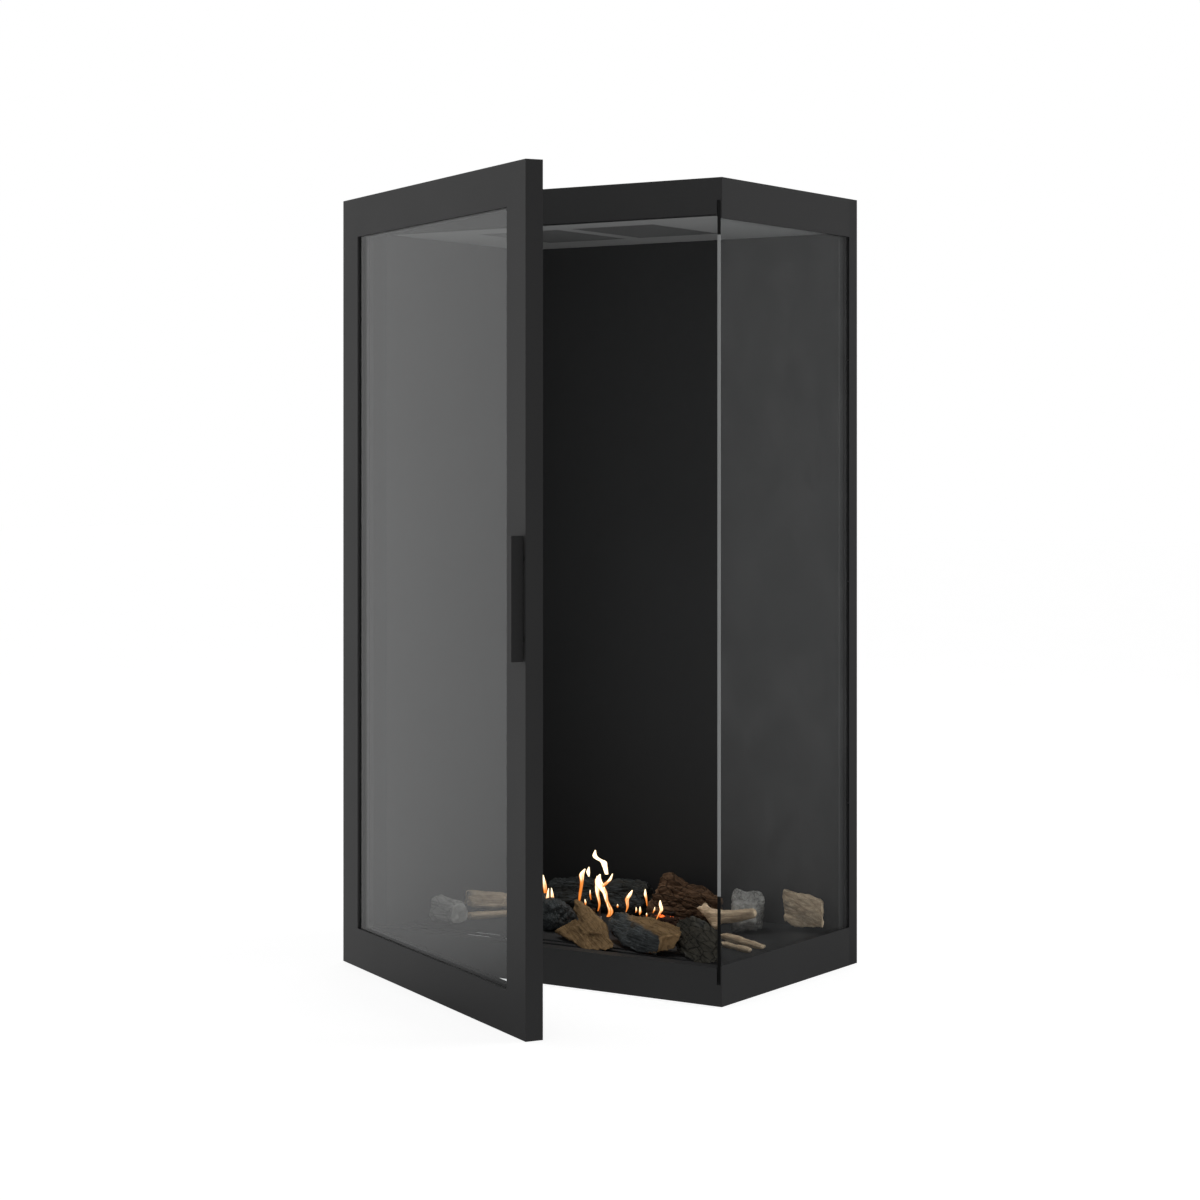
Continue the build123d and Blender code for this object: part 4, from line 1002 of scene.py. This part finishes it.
@dataclass
class EmberBed:
    """Loose ember chips heaped over the burner between the logs."""

    finish: bpy.types.Material
    chips: int = 420
    shift: float = 0.012
    spread: tuple[float, float] = (0.07, 0.055)
    heap: float = 0.022
    core_width: float = 0.9
    core_height: float = 0.8
    smallest: float = 0.0026
    largest: float = 0.0075
    glowing: float = 0.025
    jitter: float = 0.006
    roughness: float = 0.45
    roughness_scale: float = 380.0
    stretch: float = 1.7
    squash: float = 0.75
    seed: int = 7

    def build(self) -> bpy.types.Object:
        """Scatters the chips over the CAD mound and joins them into one piece.

        Returns:
            The piece.
        """
        low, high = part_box("ember_bed")
        middle = (low + high) / 2
        shape = merged_copy("ember_bed")
        shape.verts.layers.float.new("glow")
        foot = Matrix.Translation(-Vector((middle.x, middle.y, low.z)))
        lift = self.heap * self.core_height / (high.z - low.z)
        bmesh.ops.scale(shape, vec=(self.core_width, self.core_width, lift), space=foot, verts=shape.verts)
        noise.seed_set(self.seed)
        for index in range(self.chips):
            self.add_chip(shape, index, Vector((middle.x + self.shift, middle.y, low.z)))
        piece = from_bmesh("ember_chips", shape)
        dress(piece, self.finish)
        placed(piece, FIXED_BODY, ["ember_bed"])
        return piece

    def add_chip(self, shape: bmesh.types.BMesh, index: int, centre: Vector) -> None:
        """Adds one chip to the heap.

        Args:
            shape: the bmesh of the bed, with its glow layer.
            index: the chip's number, which sets its place, size and form.
            centre: the middle of the heap's foot.
        """
        turn = index * GOLDEN_ANGLE
        reach = math.sqrt((index + 0.5) / self.chips)
        wobble = noise.noise_vector(Vector((index * 0.37, 1.7, 4.1)))
        x = self.spread[0] * reach * math.cos(turn) + wobble.x * self.jitter
        y = self.spread[1] * reach * math.sin(turn) + wobble.y * self.jitter
        size = self.smallest + (self.largest - self.smallest) * abs(wobble.z)
        rise = self.heap * max(0.0, 1 - reach ** 2)
        lit = 1.0 if (index * 7919 % 100) / 100 < self.glowing * (1.2 - reach) else 0.0
        glow = shape.verts.layers.float["glow"]
        chip = bmesh.ops.create_icosphere(shape, subdivisions=1, radius=size)["verts"]
        for vertex in chip:
            skin = noise.noise(vertex.co * self.roughness_scale + Vector((index, 0, 0)))
            vertex.co *= 1 + self.roughness * skin
            vertex.co.x *= self.stretch
            vertex.co.z *= self.squash
            vertex[glow] = lit
        bmesh.ops.rotate(shape, verts=chip, matrix=Matrix.Rotation(index * 1.1, 3, "Z"))
        bmesh.ops.translate(shape, verts=chip, vec=centre + Vector((x, y, rise + size * 0.6)))


@dataclass
class Tongue:
    """One tongue of flame: a path of places with a half width at each.

    A stop is x, z and half width; the tongue stands upright at one depth.
    """

    name: str
    depth: float
    stops: Sequence[Spot]
    flatness: float = 0.55
    whiteness: float = 0.0
    steps: int = 5
    sides: int = 12
    thinnest: float = 0.0001

    def _spot(self, at: float) -> Spot:
        """Place and half width at a share of the path, on a smooth line through the stops."""
        last = len(self.stops) - 1
        passed = at * last
        index = min(int(passed), last - 1)
        share = passed - index
        around = [self.stops[max(0, min(last, index + shift))] for shift in (-1, 0, 1, 2)]
        result = []
        for before, here, after, beyond in zip(*around):
            bend = 2 * before - 5 * here + 4 * after - beyond
            curl = -before + 3 * here - 3 * after + beyond
            result.append(here + 0.5 * share * (after - before + share * (bend + share * curl)))
        return tuple(result)

    def add_to(self, shape: bmesh.types.BMesh) -> None:
        """Adds the tongue's closed shell to a bmesh.

        Args:
            shape: the bmesh of all flames, with its core and rise layers.
        """
        core = shape.verts.layers.float["core"]
        rise = shape.verts.layers.float["rise"]
        count = (len(self.stops) - 1) * self.steps
        ring = bmesh.ops.create_circle(shape, cap_ends=True, segments=self.sides, radius=1.0)["verts"]
        bmesh.ops.transform(shape, matrix=Matrix.Diagonal((1.0, self.flatness, 1.0, 1.0)), verts=ring)
        for step in range(count + 1):
            x, z, width = self._spot(step / count)
            width = max(width, self.thinnest)
            if step:
                made = bmesh.ops.extrude_edge_only(shape, edges=ring_edges(ring))["geom"]
                ring = [item for item in made if isinstance(item, bmesh.types.BMVert)]
            middle = sum((vertex.co for vertex in ring), Vector()) / len(ring)
            size = max((vertex.co - middle).length for vertex in ring)
            bmesh.ops.scale(shape, vec=(width / size,) * 3, verts=ring, space=Matrix.Translation(-middle))
            bmesh.ops.translate(shape, vec=Vector((x, self.depth, z)) - middle, verts=ring)
            for vertex in ring:
                vertex[core] = 1 - min(1.0, abs(vertex.co.x - x) / width) ** 2
                vertex[rise] = self.whiteness + step / count * (1 - self.whiteness)
        bmesh.ops.contextual_create(shape, geom=ring)
        reporter.info("lit the %s tongue", self.name.replace("_", " "))


@dataclass
class Flames:
    """The small gas flames between the logs."""

    finish: bpy.types.Material
    near_depth: float = -0.039
    far_depth: float = 0.011

    def tongues(self) -> list[Tongue]:
        """Every flame, from left to right."""
        near = self.near_depth
        return [
            Tongue("far_left", self.far_depth, (
                (-0.117, 0.074, 0.001), (-0.1175, 0.088, 0.003), (-0.119, 0.1, 0.0035),
                (-0.1215, 0.113, 0.0005))),
            Tongue("twin_left", near, (
                (-0.077, 0.082, 0.001), (-0.079, 0.09, 0.003), (-0.077, 0.104, 0.0005)), whiteness=0.3),
            Tongue("twin_right", near, (
                (-0.071, 0.083, 0.001), (-0.0705, 0.092, 0.003), (-0.072, 0.105, 0.0005)), whiteness=0.3),
            Tongue("left_tall", near, (
                (-0.0245, 0.084, 0.0012), (-0.022, 0.1, 0.0026), (-0.019, 0.118, 0.0032),
                (-0.019, 0.129, 0.0045), (-0.0135, 0.1375, 0.001))),
            Tongue("left_blob", near, (
                (-0.0065, 0.127, 0.0006), (-0.008, 0.1335, 0.003), (-0.0065, 0.141, 0.0006)),
                whiteness=1.0),
            Tongue("main_body", near, (
                (0.0265, 0.0725, 0.0035), (0.031, 0.081, 0.0045), (0.0245, 0.094, 0.003),
                (0.0205, 0.106, 0.0045), (0.013, 0.115, 0.0075), (0.0095, 0.124, 0.0055),
                (0.0125, 0.132, 0.001)), whiteness=0.35),
            Tongue("main_left", near, (
                (0.009, 0.079, 0.0012), (0.0115, 0.09, 0.002), (0.008, 0.104, 0.003),
                (0.008, 0.116, 0.004), (0.0075, 0.129, 0.0008)), whiteness=0.2),
            Tongue("main_right", near, (
                (0.013, 0.112, 0.004), (0.022, 0.1195, 0.004), (0.0295, 0.126, 0.0028),
                (0.034, 0.1345, 0.0006)), whiteness=0.25),
            Tongue("main_crown", near, (
                (0.024, 0.133, 0.0028), (0.021, 0.143, 0.0042), (0.018, 0.1505, 0.0055),
                (0.0095, 0.1535, 0.005), (0.0035, 0.158, 0.0038), (0.0045, 0.166, 0.0008)), whiteness=1.0),
            Tongue("behind_thin", near, (
                (-0.003, 0.094, 0.0008), (-0.0045, 0.101, 0.0015), (-0.0045, 0.108, 0.0004))),
            Tongue("spark_left", near, (
                (-0.013, 0.085, 0.0006), (-0.0125, 0.089, 0.0018), (-0.0135, 0.094, 0.0004))),
            Tongue("middle", near, (
                (0.057, 0.082, 0.0008), (0.0595, 0.09, 0.002), (0.0585, 0.1, 0.0035),
                (0.063, 0.107, 0.0035), (0.0675, 0.114, 0.0006)), whiteness=0.2),
            Tongue("spot_middle", near, (
                (0.0425, 0.0865, 0.0004), (0.0425, 0.089, 0.0018), (0.0425, 0.092, 0.0004))),
            Tongue("low_left", near, (
                (0.073, 0.0825, 0.0004), (0.0745, 0.086, 0.0016), (0.074, 0.0905, 0.0004))),
            Tongue("low_right", near, (
                (0.08, 0.08, 0.0005), (0.081, 0.085, 0.0022), (0.0805, 0.092, 0.0004)), whiteness=0.2),
            Tongue("thin_right", near, (
                (0.0925, 0.094, 0.0007), (0.091, 0.104, 0.0018), (0.0895, 0.11, 0.0024),
                (0.0895, 0.1175, 0.0005)), whiteness=0.2),
            Tongue("spot_right", near, (
                (0.0915, 0.0785, 0.0004), (0.092, 0.081, 0.0016), (0.0915, 0.084, 0.0004))),
            Tongue("small_right", near, (
                (0.102, 0.0845, 0.0004), (0.1045, 0.089, 0.0015), (0.1055, 0.0935, 0.0004))),
            Tongue("far_right", near, (
                (0.1085, 0.077, 0.001), (0.1125, 0.084, 0.0018), (0.1165, 0.091, 0.003),
                (0.1145, 0.0985, 0.0026), (0.1145, 0.104, 0.0006)), whiteness=0.3),
        ]

    def build(self) -> bpy.types.Object:
        """Builds all tongues as one piece.

        Returns:
            The piece.
        """
        shape = bmesh.new()
        shape.verts.layers.float.new("core")
        shape.verts.layers.float.new("rise")
        for tongue in self.tongues():
            tongue.add_to(shape)
        bmesh.ops.recalc_face_normals(shape, faces=shape.faces)
        piece = from_bmesh("gas_flames", shape)
        shade(piece, 180.0)
        dress(piece, self.finish)
        placed(piece, FIXED_BODY)
        return piece


@dataclass
class Casing:
    """Outer sheets, the bands round the fire and the screws of the back casing."""

    band: bpy.types.Material
    sheet: bpy.types.Material
    steel: bpy.types.Material
    head_depth: float = 0.0014
    rim_share: float = 0.93
    socket_inset: float = 0.2
    socket_depth: float = 0.0009
    point_share: float = 0.2
    shank_share: float = 0.44

    def build(self) -> None:
        """Dresses the sheets and builds the screw heads."""
        for node in ("front_bottom_band", "front_top_band", "side_bottom_band", "side_top_band"):
            dress_node(node, self.band)
        for node in ("left_casing", "back_casing", "top_casing", "base_pan"):
            dress_node(node, self.sheet)
        self.screws()

    def screws(self) -> bpy.types.Object:
        """Builds button-head screws with round sunk sockets where the CAD screws are.

        Returns:
            The piece.
        """
        source = merged_copy("casing_screws")
        low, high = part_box("casing_screws")
        right = [v.co.x for v in source.verts if v.co.x > (low.x + high.x) / 2]
        radius = (max(right) - min(right)) / 2
        source.free()
        columns = (low.x + radius, high.x - radius)
        rows = (low.z + radius, (low.z + high.z) / 2, high.z - radius)
        shape = bmesh.new()
        for x in columns:
            for z in rows:
                self.one_screw(shape, Vector((x, high.y, z)), radius, high.y - low.y)
        piece = from_bmesh("casing_screw_heads", shape)
        shade(piece, 30.0)
        dress(piece, self.steel)
        placed(piece, FIXED_BODY, ["casing_screws"])
        return piece

    def one_screw(self, shape: bmesh.types.BMesh, tip: Vector, radius: float, length: float) -> None:
        """Adds one screw, its head facing back.

        Args:
            shape: the bmesh of all screws.
            tip: the middle of the head's outer face.
            radius: the head's radius.
            length: from the head's face to the point.
        """
        head = self.head_depth
        rim_radius = radius * self.rim_share
        made = bmesh.ops.create_cone(shape, cap_ends=True, segments=24, radius1=rim_radius,
                                     radius2=rim_radius, depth=head)["verts"]
        rim = [edge for edge in ring_edges(made) if all(vertex.co.z > 0 for vertex in edge.verts)]
        beveled = bmesh.ops.bevel(shape, geom=rim, offset=head * 0.6, segments=4, profile=0.5,
                                  affect="EDGES", material=-1)
        parts = {v for v in [*made, *beveled["verts"]] if v.is_valid}
        faces = {f for v in parts for f in v.link_faces}
        crown = max(faces, key=lambda f: f.calc_center_median().z)
        inner = bmesh.ops.inset_region(shape, faces=[crown], thickness=radius * self.socket_inset)
        parts |= {v for f in inner["faces"] for v in f.verts}
        hole = bmesh.ops.extrude_face_region(shape, geom=[crown])["geom"]
        sunk = [g for g in hole if isinstance(g, bmesh.types.BMVert)]
        bmesh.ops.translate(shape, vec=(0, 0, -self.socket_depth), verts=sunk)
        if crown.is_valid:
            bmesh.ops.delete(shape, geom=[crown], context="FACES_ONLY")
        parts |= set(sunk)
        shank = bmesh.ops.create_cone(shape, cap_ends=True, segments=12, radius1=radius * self.point_share,
                                      radius2=radius * self.shank_share, depth=length - head)["verts"]
        bmesh.ops.translate(shape, vec=(0, 0, -length / 2), verts=shank)
        everything = [v for v in [*parts, *shank] if v.is_valid]
        bmesh.ops.translate(shape, vec=(0, 0, -head / 2), verts=everything)
        bmesh.ops.rotate(shape, verts=everything, matrix=Matrix.Rotation(math.radians(-90), 3, "X"))
        bmesh.ops.translate(shape, vec=tip, verts=everything)


@dataclass
class Chamber:
    """The liners, ceiling, floor, grilles and the hardware inside the fire."""

    paint: bpy.types.Material
    ceiling: bpy.types.Material
    grille: bpy.types.Material
    metal: bpy.types.Material
    brass: bpy.types.Material
    ceramic: bpy.types.Material

    def build(self) -> None:
        """Dresses every node of the chamber."""
        rows = {
            self.paint: ("left_jamb", "left_liner", "back_liner", "chamber_floor", "floor_rails",
                         "glass_ledge_bottom", "glass_ledge_top", "glass_channel_rear", "burner_tray",
                         "burner_plate"),
            self.ceiling: ("chamber_ceiling",),
            self.grille: ("ceiling_grille_left", "ceiling_grille_right"),
            self.metal: ("gas_pipe", "pilot_burner", "flue_collar_inner", "flue_collar_outer"),
            self.brass: ("gas_inlet_fitting", "gas_injector"),
            self.ceramic: ("ignition_electrode", "flame_sensor"),
        }
        for finish, nodes in rows.items():
            for node in nodes:
                dress_node(node, finish)


@dataclass
class Door:
    """The glazed door, its rope seals, hinge pins and handle."""

    band: bpy.types.Material
    glass: bpy.types.Material
    rope: bpy.types.Material
    handle: bpy.types.Material
    steel: bpy.types.Material
    twist_pitch: float = 0.0065
    twist_depth: float = 0.00045
    yarns: int = 4
    section_sides: int = 14
    slack: float = 0.0001
    bend: float = 0.009
    bend_steps: int = 6
    lay_pitch: float = 0.0022

    def shut_turn(self) -> Matrix:
        """The turn from the shut door to the door as it stands."""
        hinge = next(joint for joint in frame["joints"] if joint["name"] == "door_hinge")
        pivot = Vector(hinge["pos_m"])
        angle = math.radians(-hinge["range_deg"][0])
        turn = Matrix.Rotation(angle, 4, Vector(hinge["axis"]))
        return Matrix.Translation(pivot) @ turn @ Matrix.Translation(-pivot)

    def rope_ring(self, node: str, name: str) -> bpy.types.Object:
        """Builds one round of rope in the place of a plain seal.

        Args:
            node: the CAD seal.
            name: the piece's name.

        Returns:
            The piece.
        """
        turn = self.shut_turn()
        low, high, width = self.measured(node, turn)
        depth = high.y - low.y
        middle = (low + high) / 2
        stations = self.stations((high.x - low.x - width) / 2, (high.z - low.z - width) / 2)
        shape = bmesh.new()
        start = list(bmesh.ops.create_circle(shape, segments=self.section_sides, radius=depth / 2)["verts"])
        ring = start
        travelled = 0.0
        for index, (x, z, angle) in enumerate(stations):
            if index:
                made = bmesh.ops.extrude_edge_only(shape, edges=ring_edges(ring))["geom"]
                fresh = set(made)
                ring = [self.partner(vertex, fresh) for vertex in ring]
                travelled += math.hypot(x - stations[index - 1][0], z - stations[index - 1][1])
            out = Vector((math.cos(angle), 0, math.sin(angle)))
            for number, vertex in enumerate(ring):
                around = 2 * math.pi * number / len(ring)
                relief = 1 - self.twist(around, travelled) / depth
                flat = out * math.cos(around) * (width / 2 - self.slack) * relief
                deep = Vector((0, 1, 0)) * math.sin(around) * (depth / 2 - self.slack) * relief
                vertex.co = Vector((middle.x + x, middle.y, middle.z + z)) + flat + deep
        bmesh.ops.bridge_loops(shape, edges=ring_edges(ring) + ring_edges(start))
        bmesh.ops.recalc_face_normals(shape, faces=shape.faces)
        bmesh.ops.transform(shape, matrix=turn, verts=shape.verts)
        piece = from_bmesh(name, shape)
        shade(piece, 60.0)
        dress(piece, self.rope)
        placed(piece, DOOR_BODY, [node])
        return piece

    @staticmethod
    def measured(node: str, turn: Matrix) -> tuple[Vector, Vector, float]:
        """Measures a plain seal as it lies in the shut door.

        Args:
            node: the CAD seal.
            turn: the turn from the shut door to the door as it stands.

        Returns:
            The two corners of the seal's box, and the width of its strip.
        """
        source = merged_copy(node)
        bmesh.ops.transform(source, matrix=turn.inverted(), verts=source.verts)
        cloud = np.array([tuple(vertex.co) for vertex in source.verts])
        source.free()
        low, high = Vector(cloud.min(0)), Vector(cloud.max(0))
        inner = np.abs(cloud[:, 0] - (low.x + high.x) / 2).min()
        return low, high, (high.x - low.x) / 2 - inner

    def twist(self, around: float, travelled: float) -> float:
        """How far the braid dips below the rope's round outline.

        Args:
            around: angle about the rope.
            travelled: length along the rope.

        Returns:
            The dip, in metres.
        """
        turned = 2 * math.pi * travelled / self.twist_pitch
        yarn = math.cos(self.yarns * around + turned)
        lay = math.cos(self.yarns * around - turned)
        return self.twist_depth * (1 - max(yarn, lay))

    def stations(self, half_x: float, half_z: float) -> list[Spot]:
        """Places along the ring with the direction that faces out at each.

        Args:
            half_x: half of the ring's width, to the rope's middle.
            half_z: half of its height.

        Returns:
            Tuples of x and z from the middle, and the angle.
        """
        quarter = math.pi / 2
        side_x, side_z = half_x - self.bend, half_z - self.bend
        centres = [(side_x, -side_z), (side_x, side_z), (-side_x, side_z), (-side_x, -side_z)]

        def on_bend(centre: tuple[float, float], angle: float) -> tuple[float, float]:
            """A place on the bend about a centre."""
            return centre[0] + self.bend * math.cos(angle), centre[1] + self.bend * math.sin(angle)

        found = []
        for index, centre in enumerate(centres):
            facing = quarter * (index - 1)
            for step in range(self.bend_steps + 1):
                angle = facing + quarter * step / self.bend_steps
                found.append((*on_bend(centre, angle), angle))
            angle = facing + quarter
            start, end = on_bend(centre, angle), on_bend(centres[(index + 1) % 4], angle)
            count = int(math.dist(start, end) / self.lay_pitch)
            for step in range(1, count):
                x, z = (a + (b - a) * step / count for a, b in zip(start, end))
                found.append((x, z, angle))
        return found

    @staticmethod
    def partner(vertex: bmesh.types.BMVert, fresh: set) -> bmesh.types.BMVert:
        """The new vertex that an extrusion joined to an old one."""
        joined = (edge.other_vert(vertex) for edge in vertex.link_edges)
        return next(other for other in joined if other in fresh)

    def build(self) -> None:
        """Dresses the door and builds its rope seals."""
        for node in ("door_frame", "door_backing_frame", "glass_retainer"):
            dress_node(node, self.band)
        dress_node("door_glass", self.glass)
        for node in ("handle_bar", "handle_spacers"):
            dress_node(node, self.handle)
        for node in ("hinge_pins", "hinge_blocks", "catch_magnets"):
            dress_node(node, self.steel)
        self.rope_ring("door_seal", "door_seal_rope")
        self.rope_ring("glass_seal", "glass_seal_rope")


@dataclass
class ReliefFlaps:
    """The pressure relief flaps in the top and their hinges."""

    sheet: bpy.types.Material
    steel: bpy.types.Material

    def build(self) -> None:
        """Dresses the flaps and hinges."""
        for node in ("relief_flap_left", "relief_flap_right"):
            dress_node(node, self.sheet)
        dress_node("flap_hinges", self.steel)


@dataclass
class Studio:
    """Pale floor, soft lights, white surroundings and the camera."""

    floor_size: float = 40.0
    floor_drop: float = 0.0005
    floor_dark: Colour = (0.3, 0.3, 0.3)
    floor_light: Colour = (0.34, 0.34, 0.34)
    floor_glow: float = 0.85
    floor_bounce: float = 0.9
    wall_bounce: float = 0.22
    matt_cut: float = 0.4
    bright_side: Spot = (-0.87, 0.49, 0.0)
    side_level: float = 0.24
    side_contrast: float = 0.42
    darkest: float = 0.03
    lens: float = 80.2
    shift_up: float = -0.1139
    spot: Spot = (2.1317, -3.2275, 0.7205)
    heading: float = 33.61

    def floor(self) -> None:
        """Lays the floor."""
        shape = bmesh.new()
        bmesh.ops.create_grid(shape, x_segments=4, y_segments=4, size=self.floor_size / 2)
        bmesh.ops.translate(shape, vec=(0, 0, -self.floor_drop), verts=shape.verts)
        piece = from_bmesh("studio_floor", shape)
        shader = Shader("pale_floor")
        cloud = shader.noise(shader.place, 3.0, 2.0)
        pale = shader.surface({
            "Base Color": shader.mix(self.floor_dark, self.floor_light, cloud),
            "Roughness": 0.8,
            "Emission Color": (1.0, 1.0, 1.0, 1.0),
            "Emission Strength": self.floor_glow,
        })
        away = shader.node("ShaderNodeVectorMath", {"operation": "NORMALIZE"}, {0: shader.place})
        rays = shader.node("ShaderNodeLightPath").outputs
        matt = Signal(shader, rays["Is Diffuse Ray"])
        level = self.level(shader, away.outputs[0]) * (1 - matt) + matt * self.floor_bounce
        glow = shader.node("ShaderNodeEmission", None, {"Strength": level}).outputs[0]
        dress(piece, shader.done(shader.blend(rays["Is Camera Ray"], glow, pale)))

    def level(self, shader: Shader, direction: bpy.types.NodeSocket) -> Signal:
        """Brightness of the surroundings in one direction.

        Args:
            shader: the node tree to add to.
            direction: unit vector away from the object.

        Returns:
            The brightness.
        """
        inputs = {0: direction, 1: self.bright_side}
        facing = shader.node("ShaderNodeVectorMath", {"operation": "DOT_PRODUCT"}, inputs).outputs["Value"]
        return (Signal(shader, facing) * self.side_contrast + self.side_level).most(self.darkest)

    def surroundings(self) -> None:
        """Surrounds the object with soft white, brighter on its bright side."""
        world = bpy.data.worlds.new("studio")
        bpy.context.scene.world = world
        world.use_nodes = True
        shader = Shader.of_tree(world.node_tree)
        direction = shader.node("ShaderNodeTexCoord").outputs["Generated"]
        rays = shader.node("ShaderNodeLightPath").outputs
        seen = Signal(shader, rays["Is Camera Ray"])
        matt = Signal(shader, rays["Is Diffuse Ray"])
        level = self.level(shader, direction) * (1 - matt * self.matt_cut) + matt * self.wall_bounce
        strength = level * (1 - seen) + seen
        inputs = {"Color": (1.0, 1.0, 1.0, 1.0), "Strength": strength}
        glow = shader.node("ShaderNodeBackground", None, inputs).outputs[0]
        shader.node("ShaderNodeOutputWorld", None, {"Surface": glow})

    def light(self, name: str, spot: Sequence[float], aim: Sequence[float], size: float, power: float,
              spread: float = 180.0) -> None:
        """Adds one soft square light.

        Args:
            name: its name.
            spot: where it hangs.
            aim: what it points at.
            size: side in metres.
            power: watts.
            spread: full angle of its beam in degrees.
        """
        data = bpy.data.lights.new(name, "AREA")
        data.spread = math.radians(spread)
        data.size = size
        data.energy = power
        lamp = linked(name, data)
        lamp.location = spot
        lamp.rotation_euler = (Vector(aim) - Vector(spot)).to_track_quat("-Z", "Y").to_euler()
        lamp.visible_camera = False
        lamp.visible_glossy = False

    def camera(self) -> None:
        """Sets the camera at the photograph's viewing angle."""
        data = bpy.data.cameras.new("camera")
        data.lens = self.lens
        data.sensor_width = 36.0
        data.shift_y = self.shift_up
        data.clip_start = 0.05
        seat = linked("camera", data)
        seat.location = self.spot
        seat.rotation_euler = (math.radians(90), 0, math.radians(self.heading))
        bpy.context.scene.camera = seat

    def build(self) -> None:
        """Builds the whole studio."""
        bpy.context.scene.view_settings.view_transform = "Standard"
        self.floor()
        self.surroundings()
        self.light("key_left", (-2.6, -2.4, 2.2), (0, 0, 0.55), 2.4, 4.0)
        self.light("fill_right", (2.7, 2.2, 1.5), (0.2, 0, 0.6), 2.2, 58.0)
        self.light("front_soft", (1.3, -3.4, 1.1), (0.1, 0, 0.4), 1.6, 9.0)
        self.light("top_soft", (0.0, -0.6, 3.2), (0, 0, 0.5), 2.5, 8.0)
        self.light("bed_soft", (0.06, -0.06, 0.9), (0.06, -0.04, 0.0), 0.25, 0.3, 50.0)
        self.camera()


def main() -> None:
    """Builds the studio and dresses the fireplace, one sub-assembly after another."""
    logging.basicConfig(level=logging.INFO, format="%(name)s: %(message)s")
    Studio().build()
    band = SheetPaint("band_paint", (0.033, 0.033, 0.0335)).make()
    sheet = SheetPaint("casing_paint", (0.026, 0.026, 0.027), roughness=0.5).make()
    inside = SheetPaint("chamber_paint", (0.036, 0.036, 0.037), roughness=0.75, haze=0.08).make()
    ceiling = SheetPaint("ceiling_paint", (0.31, 0.31, 0.31), roughness=0.7).make()
    grille = SheetPaint("grille_paint", (0.14, 0.14, 0.14), roughness=0.7).make()
    handle = SheetPaint("handle_paint", (0.025, 0.025, 0.0255), roughness=0.5, peel=0.00004).make()
    steel = BareMetal("hinge_steel", (0.5, 0.5, 0.51)).make()
    screw = BareMetal("screw_steel", (0.42, 0.43, 0.44), roughness=0.28).make()
    pipe = BareMetal("pipe_metal", (0.56, 0.56, 0.56), roughness=0.38).make()
    brass = BareMetal("brass_fitting", (0.72, 0.5, 0.2), dull=(0.3, 0.2, 0.09)).make()
    foot, tip = (corner.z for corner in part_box("ignition_electrode"))
    browned = [foot + (tip - foot) * share for share in BROWNED_SHARES]
    ceramic = FiredCeramic("electrode_ceramic", *browned).make()
    edge_low, edge_high = EDGE_PAINTED_LIT_BETWEEN
    edge_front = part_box("side_glass")[0].y + EDGE_DEPTH
    pane = FireGlass("fire_glass_side", film=0.022, edge_front=edge_front, edge_low=edge_low,
                     edge_high=edge_high).make()
    door_glass = FireGlass("fire_glass_door").make()
    rope = WovenRope("seal_rope").make()
    woods = {
        finish.kind: finish.make()
        for finish in (
            CastWood(Wood.SPLIT, (0.235, 0.15, 0.073), (0.095, 0.058, 0.027)),
            CastWood(Wood.CHARRED, (0.062, 0.057, 0.045), (0.024, 0.023, 0.019), bloomed=0.6, crack_and_shade_share=0.8),
            CastWood(Wood.BARK, (0.14, 0.082, 0.048), (0.05, 0.029, 0.017), bloomed=0.3, crack_and_shade_share=0.7),
            CastWood(Wood.ASH, (0.4, 0.39, 0.37), (0.14, 0.135, 0.125), bloomed=0.9, crack_and_shade_share=0.4),
        )
    }
    Casing(band, sheet, screw).build()
    Chamber(inside, ceiling, grille, pipe, brass, ceramic).build()
    dress_node("side_glass", pane)
    Door(band, door_glass, rope, handle, steel).build()
    ReliefFlaps(sheet, steel).build()
    pale = CastWood(Wood.SPLIT, (0.78, 0.61, 0.42), (0.42, 0.3, 0.19), "_pale", crack_and_shade_share=0.2).make()
    LogSet(woods, pale).build()
    EmberBed(EmberCrust().make()).build()
    Flames(FlameLight().make()).build()


if __name__ == "__main__":
    main()
